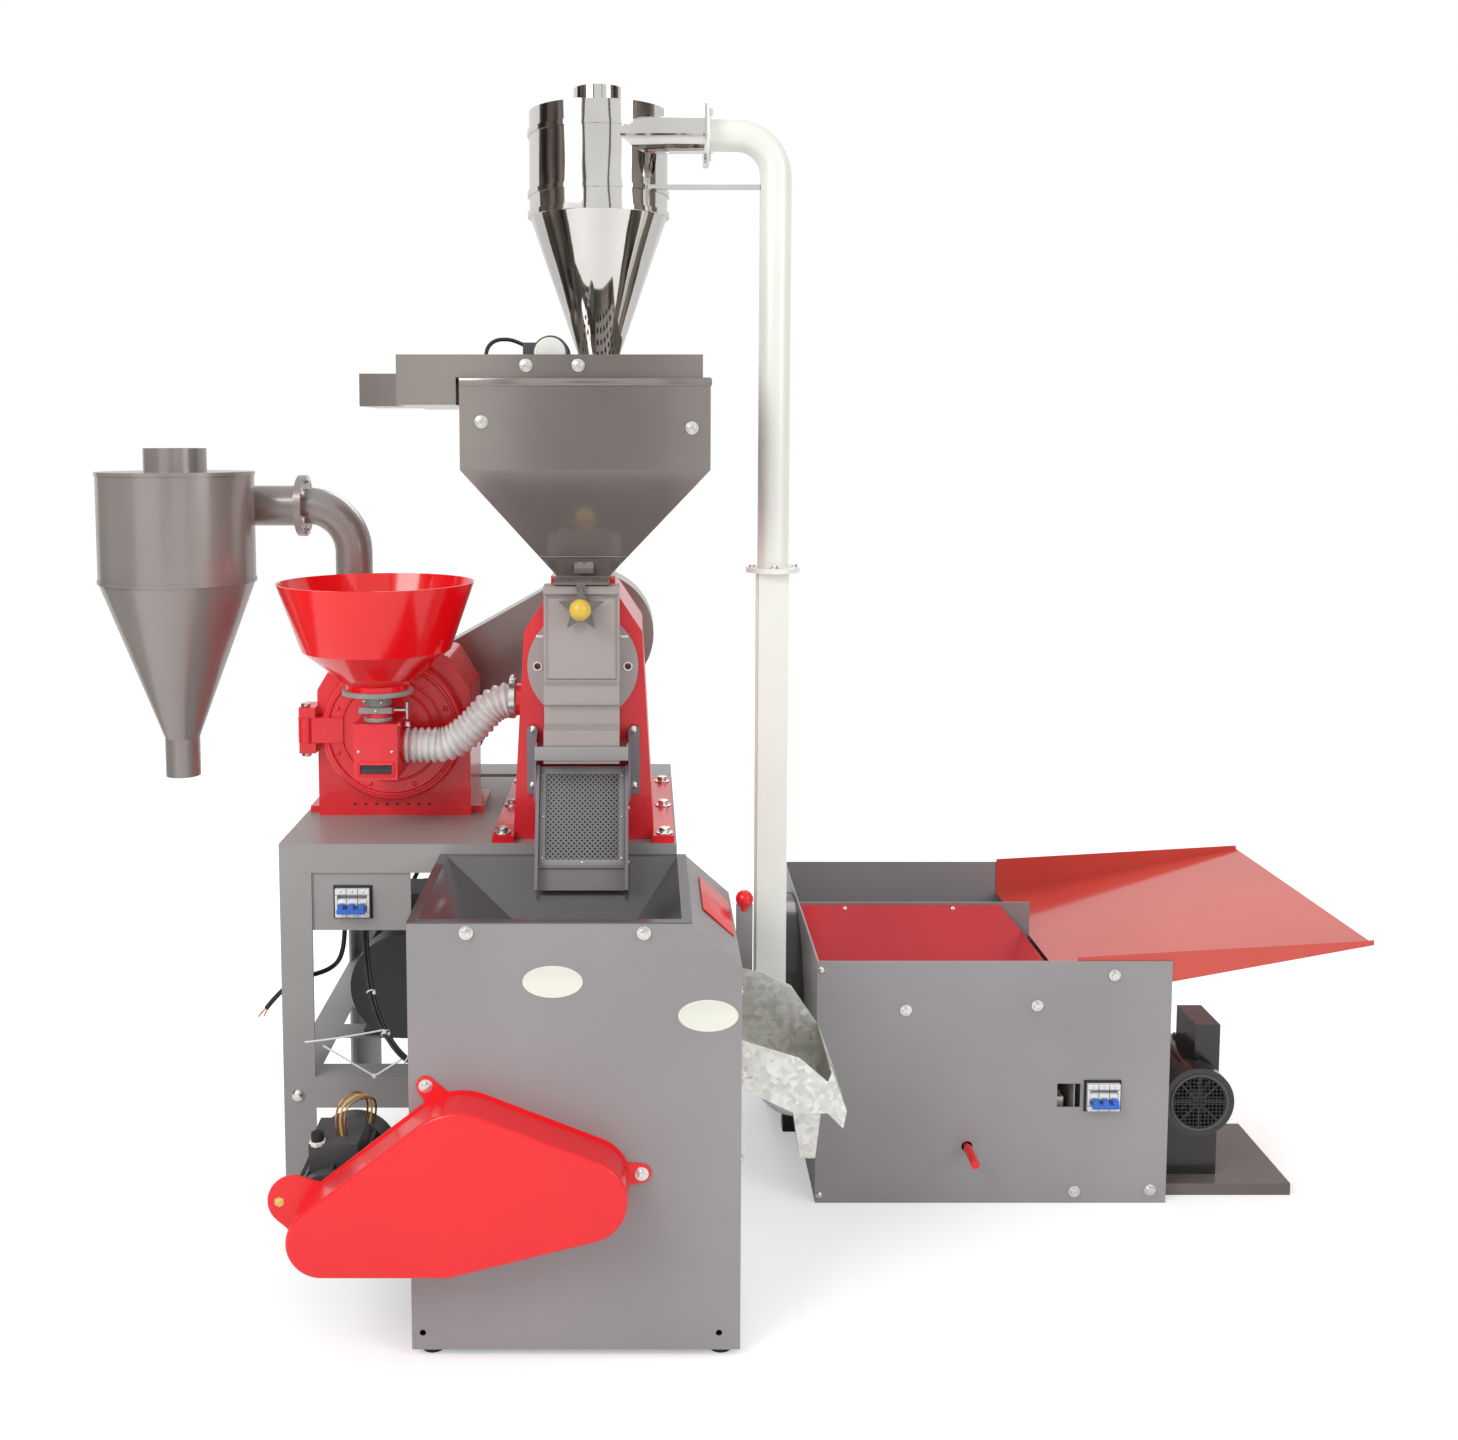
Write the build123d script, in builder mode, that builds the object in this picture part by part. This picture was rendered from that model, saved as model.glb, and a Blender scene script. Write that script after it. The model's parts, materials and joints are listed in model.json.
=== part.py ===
# A combined rice mill set, in millimetres. X runs to the right, Y away from the operator and Z up.
# The origin is on the floor, below the middle of the whole set.
from build123d import *
from math import cos, radians, sin, tan
import os

os.makedirs("parts", exist_ok=True)

# Whole set
cyclone_cap_top = 1818

# Stock and fits
sheet = 2
plate = 6
seat_gap = 0.3
shaft_fit = 0.05
belt_width = 12
belt_height = 8
bolt_head_radius = 8
bolt_head_height = 5
bolt_hole_radius = 4.5

# Destoner cab
cab_left = -465
cab_width = 450
cab_depth = 322
cab_top = 612
cab_skirt = 11
cab_shoulder_width = 67
cab_shoulder_drop = 61
foot_radius = 16.5
foot_inset = 26
cab_hole_spacing = 406
cab_hole_height = 35
pan_slot_width = 70
pan_slot_depth = 120
pan_drop = 142
chute_spout_top = 320
chute_spout_end = 221
chute_spout_width = 46
chute_spout_end_width = 22

# Belt drive of the destoner: motor, eccentric and fan axes, and their pulleys
guard_depth = 66
guard_plate_thickness = 3
drive_motor_x = -577
drive_motor_z = 196
eccentric_x = -387
eccentric_z = 294
fan_x = -225
fan_z = 242
drive_motor_pulley_radius = 27
eccentric_pulley_radius = 46
fan_pulley_radius = 28
drive_shaft_radius = 11
drive_bearing_radius = 22
drive_bearing_width = 12
drive_motor_radius = 62
drive_motor_length = 190

# Mill table
table_left = -716
table_front = -127
table_width = 620
table_depth = 560
table_top = 628
angle_size = 50
angle_wall = 4
shelf_top = 252
panel_width = 154
panel_height = 93
breaker_width = 54
breaker_height = 46
breaker_depth = 60

# Main motor and the two belt lanes behind the machines
main_motor_x = -545
main_motor_shaft_height = 100
main_motor_radius = 88
main_motor_length = 260
main_shaft_radius = 14
mill_lane = 284
huller_lane = 336
main_pulley_mill_radius = 85
main_pulley_huller_radius = 62

# Huller
huller_x = -242
huller_front = -100
huller_depth = 220
huller_axis = 905
huller_base_half = 111
huller_waist_half = 92
huller_waist = 958
huller_top_half = 50
huller_top = 1022
huller_intake_top = 1036
chamber_radius = 58
rotor_radius = 50
screen_wall = 2
huller_shaft_radius = 17
huller_pulley_radius = 92
huller_foot_half = 142
huller_foot_width = 34
huller_foot_thickness = 12
huller_foot_bolt_half = 127
huller_foot_bolt_pitch = 173
huller_foot_front = -122
huller_foot_back = 272
head_radius = 86
head_cover_width = 115
outlet_frame_width = 142
outlet_frame_length = 152
outlet_tongue = 36
outlet_tilt = 70

# Main hopper, feed gate and sieve tray
hopper_x = -234
hopper_y = -2
hopper_width = 371
hopper_top = 1346
hopper_straight = 136
throat_width = 80
throat_y = -40
gate_thickness = 4
star_width = 86
star_height = 68
knob_radius = 16
tray_left = -513
tray_right = -60
tray_front = -182
tray_depth = 330
tray_rim = 1380
tray_pocket = 96
tray_pocket_floor = 1306
tray_spout_left = -585
tray_spout_rim = 1356
tray_spout_depth = 150
vibrator_x = -287
vibrator_y = -118
vibrator_z = 1383
vibrator_radius = 26
vibrator_length = 84

# Flour mill
mill_x = -564
mill_front = 47
mill_depth = 150
mill_axis = 776
mill_half = 127
mill_shoulder = 840
mill_top_half = 91
mill_top = 899
mill_chamber_radius = 110.3
mill_chamber_depth = 108
mill_door_radius = 118
mill_door_thickness = 20
mill_boss_radius = 51
mill_rotor_radius = 98
mill_shaft_radius = 14
mill_pulley_radius = 46
mill_hinge_x = -706
mill_hinge_pin_radius = 6
mill_hinge_arm_height = 46
inlet_box_width = 69
inlet_box_height = 89
mill_neck_width = 40
mill_neck_top = 860
mill_feed_x = -571
mill_feed_y = -56
bowl_radius = 155
bowl_foot_height = 9
bowl_cone_height = 55
bowl_wall_height = 107
bowl_knee_radius = 117
bowl_bottom_radius = 50
bowl_wall = 3
hose_radius = 29
hose_port_x = -352
hose_port_z = 838

# Flour cyclone and its blow pipe
flour_cyclone_radius = 126
flour_cyclone_x = -914
flour_cyclone_y = 39
flour_cyclone_top = 1203
flour_cyclone_knee = 1025
flour_cyclone_tip = 763
flour_cyclone_end = 699
flour_spout_radius = 28
flour_exhaust_radius = 50
flour_exhaust_top = 1241
blow_pipe_radius = 31
blow_pipe_x = -642
blow_pipe_bend = 78
blow_pipe_z = 1143
blow_flange_radius = 52

# Lift: riser and polished cyclone
riser_x = 60
riser_y = -15
riser_radius = 25
riser_duct_width = 48
riser_joint = 1047
riser_bend = 62
riser_top = 1730
lift_inlet = 162
lift_bend = 44
steel_cyclone_x = -221
steel_cyclone_radius = 112
steel_cyclone_top = 1780
steel_cyclone_knee = 1617
steel_cyclone_end = 1392
steel_spout_radius = 34
steel_cap_radius = 40
steel_flange_x = -50

# Cleaner box, trough and feed tray
cleaner_width = 578
cleaner_depth = 560
cleaner_height = 410
cleaner_left = 135
cleaner_front = -45
trough_width = 425
trough_depth = 303
trough_floor = 60
feed_floor_low = 348
feed_floor_high = 438
feed_wall_rise = 6
feed_tray_reach = 327
handle_x = 384
handle_z = 97
handle_radius = 5
window_size = 38
cleaner_breaker_x = 604
cleaner_breaker_z = 184
window_x = 549
steel_band_rise = 4

# Blower on the left wall of the cleaner, and the motor on its right
blower_radius = 185
blower_width = 55
blower_y = 322
blower_z = 215
blower_eye_radius = 55
impeller_radius = 150
blower_shaft_radius = 12
blower_motor_radius = 54
blower_motor_length = 170
cleaner_motor_x = 772
cleaner_motor_z = 162
cleaner_motor_radius = 58
cleaner_motor_front = -24
cleaner_motor_length = 170
base_reach = 217
base_thickness = 12
base_width = 213

# Sizes that follow from the ones above
cab_back = table_front
cab_front = cab_back - cab_depth
belt_cover_front = cab_front - guard_depth
cab_right = cab_left + cab_width
cab_x = cab_left + cab_width / 2
cab_y = (cab_front + cab_back) / 2
pan_right = cab_right - cab_shoulder_width
pan_x = (cab_left + pan_right) / 2
table_back = table_front + table_depth
table_right = table_left + table_width
table_x = table_left + table_width / 2
table_y = table_front + table_depth / 2
frame_top = table_top - plate
cleaner_back = cleaner_front + cleaner_depth
cleaner_right = cleaner_left + cleaner_width
feed_tray_right = cleaner_right + feed_tray_reach
trough_right = cleaner_left + trough_width
trough_back = cleaner_front + trough_depth
main_motor_axis = shelf_top + main_motor_shaft_height
hopper_bottom = huller_intake_top + gate_thickness + 2 * seat_gap
mill_body_back = mill_front + mill_depth
huller_body_back = huller_front + huller_depth
bowl_bottom = mill_neck_top + bowl_foot_height
bowl_knee = bowl_bottom + bowl_cone_height
bowl_rim = bowl_knee + bowl_wall_height
blow_pipe_y = flour_cyclone_y + flour_cyclone_radius - blow_pipe_radius - 4
steel_cyclone_y = riser_y + steel_cyclone_radius - riser_radius - 9
mill_door_back = mill_front - seat_gap
mill_door_front = mill_door_back - mill_door_thickness


def save(part, name):
    # Names one finished piece and writes it to its own file.
    part.part.label = name
    export_step(part.part, f"parts/{name}.step")


def block(x0, x1, y0, y1, z0, z1, mode=Mode.ADD):
    # A box between two corners.
    with Locations(((x0 + x1) / 2, (y0 + y1) / 2, (z0 + z1) / 2)):
        Box(abs(x1 - x0), abs(y1 - y0), abs(z1 - z0), mode=mode)


def drum(x, z, y0, y1, radius, mode=Mode.ADD):
    # A cylinder along Y from the front face y0 to the back face y1.
    with BuildSketch(Plane.XZ.offset(-y1)) as outline:
        with Locations((x, z)):
            Circle(radius)
    extrude(outline.sketch, amount=y1 - y0, mode=mode)


def rod(y, z, x0, x1, radius, mode=Mode.ADD):
    # A cylinder along X.
    with BuildSketch(Plane.YZ.offset(x0)) as outline:
        with Locations((y, z)):
            Circle(radius)
    extrude(outline.sketch, amount=x1 - x0, mode=mode)


def post(x, y, z0, z1, radius, mode=Mode.ADD):
    # A cylinder along Z.
    with BuildSketch(Plane.XY.offset(z0)) as outline:
        with Locations((x, y)):
            Circle(radius)
    extrude(outline.sketch, amount=z1 - z0, mode=mode)


def front_outline(y0, y1, points, mode=Mode.ADD):
    # A closed outline of X and Z points, from the front face y0 to the back face y1.
    with BuildSketch(Plane.XZ.offset(-y1)) as outline:
        with BuildLine():
            Polyline(*points, close=True)
        make_face()
    extrude(outline.sketch, amount=y1 - y0, mode=mode)


def side_outline(x0, x1, points, mode=Mode.ADD):
    # A closed outline of Y and Z points, from the left face x0 to the right face x1.
    with BuildSketch(Plane.YZ.offset(x0)) as outline:
        with BuildLine():
            Polyline(*points, close=True)
        make_face()
    extrude(outline.sketch, amount=x1 - x0, mode=mode)


def funnel(low, high, mode=Mode.ADD):
    # A four-sided taper between two level rectangles, each given as x, y, z, width and depth.
    outlines = []
    for x, y, z, width, depth in (low, high):
        with BuildSketch(Plane.XY.offset(z)) as outline:
            with Locations((x, y)):
                Rectangle(width, depth)
        outlines.append(outline.sketch)
    loft(outlines, mode=mode)


def turned(x, y, points, mode=Mode.ADD):
    # A body turned about the upright axis at x and y, from points of radius and height.
    with BuildSketch(Plane(origin=(x, y, 0), x_dir=(1, 0, 0), z_dir=(0, -1, 0))) as outline:
        with BuildLine():
            Polyline(*points, close=True)
        make_face()
    revolve(outline.sketch, axis=Axis((x, y, 0), (0, 0, 1)), mode=mode)


def pulley(x, z, lane, groove_radius, mode=Mode.ADD):
    # A wheel with one belt groove, centred on the belt lane.
    half = belt_width / 2 + seat_gap
    rim = groove_radius + belt_height - 1
    with BuildSketch(Plane(origin=(x, lane, z), x_dir=(1, 0, 0), z_dir=(0, 0, 1))) as outline:
        with BuildLine():
            Polyline(
                (0, -half - 5),
                (rim, -half - 5),
                (rim, -half),
                (groove_radius, -half),
                (groove_radius, half),
                (rim, half),
                (rim, half + 5),
                (0, half + 5),
                close=True,
            )
        make_face()
    revolve(outline.sketch, axis=Axis((x, lane, z), (0, 1, 0)), mode=mode)


def wrap(y0, y1, wheels, extra=0, mode=Mode.ADD):
    # The hull around circles given as x, z and radius, each larger by extra, from y0 to y1.
    with BuildSketch(Plane.XZ.offset(-y1)) as outline:
        for x, z, radius in wheels:
            with Locations((x, z)):
                Circle(radius + extra)
        make_hull()
    extrude(outline.sketch, amount=y1 - y0, mode=mode)


def belt_loop(wheels, lane):
    # A belt around pulleys given as x, z and groove radius, centred on its lane.
    wrap(lane - belt_width / 2, lane + belt_width / 2, wheels, seat_gap + belt_height)
    wrap(lane - belt_width / 2, lane + belt_width / 2, wheels, seat_gap, Mode.SUBTRACT)


# Table frame: two rings of angle iron on four angle legs, with two cross rails for the main motor
top_rail = 40
motor_rail_width = 50
motor_rail_places = (58, 186)
with BuildPart() as table_frame:
    for ring_top, rail in ((frame_top, top_rail), (shelf_top, angle_size)):
        with BuildSketch(Plane.XY.offset(ring_top - rail)):
            with Locations((table_x, table_y)):
                Rectangle(table_width, table_depth)
                Rectangle(table_width - 2 * angle_wall, table_depth - 2 * angle_wall, mode=Mode.SUBTRACT)
        extrude(amount=rail)
        with BuildSketch(Plane.XY.offset(ring_top - angle_wall)):
            with Locations((table_x, table_y)):
                Rectangle(table_width, table_depth)
                Rectangle(table_width - 2 * rail, table_depth - 2 * rail, mode=Mode.SUBTRACT)
        extrude(amount=angle_wall)
    for x_end, x_in in ((table_left, 1), (table_right, -1)):
        for y_end, y_in in ((table_front, 1), (table_back, -1)):
            x_sides = sorted((x_end, x_end + x_in * angle_size))
            x_skin = sorted((x_end, x_end + x_in * angle_wall))
            y_sides = sorted((y_end, y_end + y_in * angle_size))
            y_skin = sorted((y_end, y_end + y_in * angle_wall))
            block(*x_sides, *y_skin, 0, frame_top)
            block(*x_skin, *y_sides, 0, frame_top)
    for rail_y in motor_rail_places:
        block(
            table_left + angle_wall,
            table_right - angle_wall,
            rail_y - motor_rail_width / 2,
            rail_y + motor_rail_width / 2,
            shelf_top - angle_wall,
            shelf_top,
        )
save(table_frame, "table_frame")

# Deck plate, with slots for the two belts and the opening for the bran below the huller
belt_slot_gap = 12
mill_slot_x = (main_motor_x + mill_x) / 2
huller_slot_x = main_motor_x + (huller_x - main_motor_x) * (table_top - main_motor_axis) / (
    huller_axis - main_motor_axis
)
bran_half = 45
bran_front = huller_front + 20
bran_back = huller_front + 180
huller_foot_rows = [
    huller_front + 167 + step * huller_foot_bolt_pitch for step in (-1, 0, 1)
]
with BuildPart() as deck_plate:
    block(table_left, table_right, table_front, table_back, frame_top, table_top)
    for slot_x, lane, half in (
        (mill_slot_x, mill_lane, main_pulley_mill_radius),
        (huller_slot_x, huller_lane, huller_pulley_radius + 22),
    ):
        block(
            slot_x - half,
            slot_x + half,
            lane - belt_slot_gap,
            lane + belt_slot_gap,
            frame_top - 1,
            table_top + 1,
            Mode.SUBTRACT,
        )
    block(
        huller_x - bran_half,
        huller_x + bran_half,
        bran_front,
        bran_back,
        frame_top - 1,
        table_top + 1,
        Mode.SUBTRACT,
    )
save(deck_plate, "deck_plate")

# Control panel behind the front rail, with the breaker's window
panel_left = table_left + angle_size
panel_top = frame_top - 20
panel_bottom = frame_top - top_rail - panel_height
panel_front = table_front + angle_wall
breaker_x = table_left + 114
breaker_z = frame_top - top_rail - 47
with BuildPart() as control_panel:
    block(
        panel_left - 20,
        panel_left + panel_width,
        panel_front,
        panel_front + sheet,
        panel_bottom,
        panel_top,
    )
    block(
        breaker_x - breaker_width / 2,
        breaker_x + breaker_width / 2,
        panel_front - 1,
        panel_front + sheet + 1,
        breaker_z - breaker_height / 2,
        breaker_z + breaker_height / 2,
        Mode.SUBTRACT,
    )
save(control_panel, "control_panel")

# Breakers: a wide body behind its panel, and a nose through the window with the toggle's slot
breaker_nose = 10
breaker_flank = 17
toggle_radius = 6.5
toggle_width = 46
toggle_inset = 8
toggle_slot_half = 13
breaker_places = (
    (breaker_x, breaker_z, panel_front, sheet),
    (cleaner_breaker_x, cleaner_breaker_z, cleaner_front, sheet),
)
with BuildPart() as breakers:
    for x, z, face, wall in breaker_places:
        half = breaker_width / 2
        tall = breaker_height / 2
        low = z - tall - breaker_flank
        high = z + tall + breaker_flank
        nose = face - breaker_nose
        block(x - half, x + half, face + wall, face + breaker_depth, low, high)
        block(x - half + 0.5, x + half - 0.5, nose, face + wall, z - tall + 0.5, z + tall - 0.5)
        block(
            x - toggle_width / 2 - seat_gap,
            x + toggle_width / 2 + seat_gap,
            face - breaker_nose - 1,
            face - breaker_nose + 2 * toggle_inset,
            z - toggle_slot_half,
            z + toggle_slot_half,
            Mode.SUBTRACT,
        )
save(breakers, "breakers")


def toggle(x, z, face):
    # A three-pole toggle: a round bar with a short lever that hangs down at rest.
    axis_y = face - breaker_nose + toggle_inset
    rod(axis_y, z, x - toggle_width / 2, x + toggle_width / 2, toggle_radius)
    side_outline(
        x - toggle_width / 2,
        x + toggle_width / 2,
        [(axis_y, z + 4), (axis_y - 19, z - 6), (axis_y - 17, z - 11), (axis_y, z - 6)],
    )


with BuildPart() as panel_toggle:
    toggle(breaker_x, breaker_z, panel_front)
save(panel_toggle, "panel_toggle")

with BuildPart() as cleaner_toggle:
    toggle(cleaner_breaker_x, cleaner_breaker_z, cleaner_front)
save(cleaner_toggle, "cleaner_toggle")

# Main motor on the cross rails: finned body, end cowl, terminal box and feet
main_motor_back = mill_lane - 30
main_motor_front = main_motor_back - main_motor_length
cowl_length = 46
motor_fins = 12
foot_half = 76
with BuildPart() as main_motor:
    drum(main_motor_x, main_motor_axis, main_motor_front, main_motor_back, main_motor_radius - 8)
    with BuildSketch(Plane.XZ.offset(-(main_motor_back - 24))):
        with Locations((main_motor_x, main_motor_axis)):
            with PolarLocations(main_motor_radius - 8, motor_fins, start_angle=15):
                Rectangle(16, 4)
    extrude(amount=main_motor_length - cowl_length - 24)
    drum(main_motor_x, main_motor_axis, main_motor_front, main_motor_front + cowl_length, main_motor_radius)
    block(
        main_motor_x - 46,
        main_motor_x + 46,
        main_motor_back - 150,
        main_motor_back - 60,
        main_motor_axis,
        main_motor_axis + main_motor_radius + 34,
    )
    block(
        main_motor_x - foot_half,
        main_motor_x + foot_half,
        motor_rail_places[0] - 20,
        motor_rail_places[1] + 20,
        shelf_top,
        shelf_top + 9,
    )
    block(
        main_motor_x - 50,
        main_motor_x + 50,
        motor_rail_places[0] - 20,
        motor_rail_places[1] + 20,
        shelf_top,
        main_motor_axis,
    )
    drum(
        main_motor_x,
        main_motor_axis,
        main_motor_back - 80,
        main_motor_back + 1,
        main_shaft_radius + shaft_fit,
        Mode.SUBTRACT,
    )
save(main_motor, "main_motor")

with BuildPart() as main_motor_rotor:
    drum(main_motor_x, main_motor_axis, main_motor_back - 79, huller_lane + 16, main_shaft_radius)
    pulley(main_motor_x, main_motor_axis, mill_lane, main_pulley_mill_radius)
    pulley(main_motor_x, main_motor_axis, huller_lane, main_pulley_huller_radius)
save(main_motor_rotor, "main_motor_rotor")

# V-belts from the main motor to the mill and to the huller
with BuildPart() as drive_belts:
    belt_loop(
        (
            (main_motor_x, main_motor_axis, main_pulley_mill_radius),
            (mill_x, mill_axis, mill_pulley_radius),
        ),
        mill_lane,
    )
    with BuildPart(mode=Mode.PRIVATE) as huller_belt:
        belt_loop(
            (
                (main_motor_x, main_motor_axis, main_pulley_huller_radius),
                (huller_x, huller_axis, huller_pulley_radius),
            ),
            huller_lane,
        )
    add(huller_belt.part)
save(drive_belts, "drive_belts")

# Huller body: a cast stand with flared flanks, feet, an intake neck and the hose port
huller_wall_front = huller_front + huller_depth - 20
huller_pedestal_front = 225
huller_pedestal_back = 265
bearing_radius = 28
neck_half = 50
port_y = -25
port_bore = 20
gate_half = throat_width / 2 + 2
with BuildPart() as huller_body:
    front_outline(
        huller_front,
        huller_body_back,
        [
            (huller_x - huller_base_half, table_top),
            (huller_x + huller_base_half, table_top),
            (huller_x + huller_waist_half, huller_waist),
            (huller_x + huller_top_half, huller_top),
            (huller_x - huller_top_half, huller_top),
            (huller_x - huller_waist_half, huller_waist),
        ],
    )
    fillet(huller_body.edges().filter_by(Axis.Y).sort_by(Axis.Z)[2:], 14)
    for side in (-1, 1):
        x_sides = sorted(
            (
                huller_x + side * huller_foot_half,
                huller_x + side * (huller_foot_half - huller_foot_width),
            )
        )
        block(*x_sides, huller_foot_front, huller_foot_back, table_top, table_top + huller_foot_thickness)
    block(
        huller_x - huller_foot_half,
        huller_x + huller_foot_half,
        huller_pedestal_front,
        huller_foot_back,
        table_top,
        table_top + huller_foot_thickness,
    )
    front_outline(
        huller_pedestal_front,
        huller_pedestal_back,
        [
            (huller_x - 70, table_top),
            (huller_x + 70, table_top),
            (huller_x + 40, huller_axis),
            (huller_x - 40, huller_axis),
        ],
    )
    drum(huller_x, huller_axis, huller_pedestal_front, huller_pedestal_back, 40)
    block(
        huller_x - neck_half,
        huller_x + neck_half,
        throat_y - neck_half,
        throat_y + neck_half,
        huller_top - 8,
        huller_intake_top,
    )
    for side in (-1, 1):
        x_sides = sorted((huller_x + side * (gate_half + seat_gap), huller_x + side * neck_half))
        block(*x_sides, throat_y - neck_half, throat_y + neck_half, huller_intake_top, hopper_bottom)
    rod(port_y, hose_port_z, hose_port_x, huller_x - chamber_radius - 6, hose_radius - 3)
    drum(huller_x, huller_axis, huller_front - 1, huller_wall_front, chamber_radius, Mode.SUBTRACT)
    drum(
        huller_x, huller_axis, huller_wall_front - 1, huller_pedestal_back + 1, bearing_radius, Mode.SUBTRACT
    )
    block(
        huller_x - bran_half,
        huller_x + bran_half,
        bran_front,
        bran_back,
        table_top - 1,
        huller_axis,
        Mode.SUBTRACT,
    )
    block(
        huller_x - throat_width / 2,
        huller_x + throat_width / 2,
        throat_y - throat_width / 2,
        throat_y + throat_width / 2,
        huller_axis,
        huller_intake_top + 1,
        Mode.SUBTRACT,
    )
    rod(port_y, hose_port_z, hose_port_x - 1, hose_port_x + 24, port_bore, Mode.SUBTRACT)
    for side in (-1, 1):
        for row in huller_foot_rows:
            post(
                huller_x + side * huller_foot_bolt_half,
                row,
                table_top - 1,
                table_top + huller_foot_thickness + 1,
                bolt_hole_radius,
                Mode.SUBTRACT,
            )
save(huller_body, "huller_body")

# Rotor: a shaft with four ribs along its roller, and the driven pulley behind
rotor_front = huller_front + 10
rotor_back = huller_wall_front - 8
rib_height = 7
rib_count = 4
with BuildPart() as huller_rotor:
    drum(huller_x, huller_axis, rotor_front, huller_lane + 14, huller_shaft_radius)
    with BuildSketch(Plane.XZ.offset(-rotor_back)):
        with Locations((huller_x, huller_axis)):
            Circle(rotor_radius - rib_height)
            with PolarLocations(rotor_radius - rib_height, rib_count, start_angle=20):
                Rectangle(2 * rib_height, 9)
    extrude(amount=rotor_back - rotor_front)
    pulley(huller_x, huller_axis, huller_lane, huller_pulley_radius)
    with BuildSketch(Plane.XZ.offset(-(huller_lane + 20))):
        with Locations((huller_x, huller_axis)):
            with PolarLocations(56, 6):
                Circle(17)
    extrude(amount=40, mode=Mode.SUBTRACT)
save(huller_rotor, "huller_rotor")

# Slotted screen: the lower part of a ring around the roller
screen_outer = chamber_radius - seat_gap
screen_slots = 5
screen_slot_rows = 3
with BuildPart() as huller_screen:
    drum(huller_x, huller_axis, bran_front - 8, bran_back - 2, screen_outer)
    drum(huller_x, huller_axis, bran_front - 9, bran_back, screen_outer - screen_wall, Mode.SUBTRACT)
    block(
        huller_x - chamber_radius,
        huller_x + chamber_radius,
        bran_front - 10,
        bran_back + 1,
        huller_axis - 12,
        huller_axis + chamber_radius,
        Mode.SUBTRACT,
    )
    for row in range(screen_slot_rows):
        slot_y = bran_front + 26 + row * 48
        with BuildSketch(Plane.XZ.offset(-(slot_y + 16))):
            with Locations((huller_x, huller_axis)):
                with PolarLocations(screen_outer, screen_slots, start_angle=-130, angular_range=80):
                    Rectangle(12, 3)
        extrude(amount=32, mode=Mode.SUBTRACT)
save(huller_screen, "huller_screen")

# Head: the round flange over the chamber, and the stepped sheet cover that leads the rice down
flange_front = huller_front - 12
head_lip = huller_intake_top - 2
head_floor = huller_axis - 141
cover_front = flange_front - 38
cover_half = head_cover_width / 2


def cover_profile(inset):
    # The stepped side view of the cover, with its front faces set back by inset.
    return [
        (flange_front, head_lip - inset),
        (cover_front - 6 + inset, head_lip - inset),
        (cover_front - 6 + inset, head_lip - 12 + inset / 2),
        (cover_front + inset, head_lip - 14),
        (cover_front + inset, huller_axis - 19),
        (cover_front - 9 + inset, huller_axis - 22),
        (cover_front - 9 + inset, huller_axis - 52),
        (cover_front - 1 + inset, huller_axis - 55),
        (cover_front - 1 + inset, huller_axis - 84),
        (cover_front - 18 + inset, huller_axis - 90),
        (cover_front - 18 + inset, head_floor),
        (flange_front, head_floor),
    ]


with BuildPart() as huller_head:
    drum(huller_x, huller_axis, flange_front, huller_front, head_radius)
    inner_half = cover_half - sheet
    side_outline(huller_x - cover_half, huller_x + cover_half, cover_profile(0))
    side_outline(huller_x - inner_half, huller_x + inner_half, cover_profile(sheet), Mode.SUBTRACT)
    drum(huller_x, huller_axis, flange_front - 1, huller_front + 1, 38, Mode.SUBTRACT)
    for side in (-1, 1):
        drum(huller_x + side * 70, huller_axis, flange_front - 1, huller_front + 1, 5, Mode.SUBTRACT)
save(huller_head, "huller_head")

# Screen chute under the head: a tilted perforated plate between two rails, on two bracket arms
chute_top_y = flange_front - 6
chute_top_z = huller_axis - 157
chute_length = outlet_frame_length + outlet_tongue
chute_plane = Plane(
    origin=(huller_x, chute_top_y, chute_top_z),
    x_dir=(1, 0, 0),
    z_dir=(0, -sin(radians(outlet_tilt)), cos(radians(outlet_tilt))),
)
rail_height = 22
rail_width = 5
arm_top = huller_axis - 97
arm_bottom = huller_axis - 203
arm_width = 17
chute_half = outlet_frame_width / 2
with BuildPart() as screen_chute:
    with BuildSketch(chute_plane):
        with Locations((0, -chute_length / 2)):
            Rectangle(outlet_frame_width, chute_length)
        with Locations((0, -outlet_frame_length / 2)):
            with GridLocations(14, 15, 8, 8):
                Rectangle(7, 7, mode=Mode.SUBTRACT)
    extrude(amount=sheet)
    with BuildSketch(chute_plane):
        for side in (-1, 1):
            with Locations((side * (chute_half - rail_width / 2), -chute_length / 2)):
                Rectangle(rail_width, chute_length)
    extrude(amount=rail_height)
    with BuildSketch(chute_plane):
        with Locations((0, -3), (0, -outlet_frame_length)):
            Rectangle(outlet_frame_width, 6)
    extrude(amount=6)
    for side in (-1, 1):
        x_skin = sorted((huller_x + side * chute_half, huller_x + side * (chute_half + 3)))
        x_flat = sorted((huller_x + side * chute_half, huller_x + side * (chute_half + arm_width)))
        side_outline(
            x_skin[0],
            x_skin[1],
            [
                (huller_front, arm_top),
                (flange_front - 30, arm_top - 20),
                (flange_front - 40, arm_bottom),
                (huller_front, arm_bottom),
            ],
        )
        block(*x_flat, huller_front - 4, huller_front, arm_bottom, arm_top)
save(screen_chute, "screen_chute")

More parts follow.
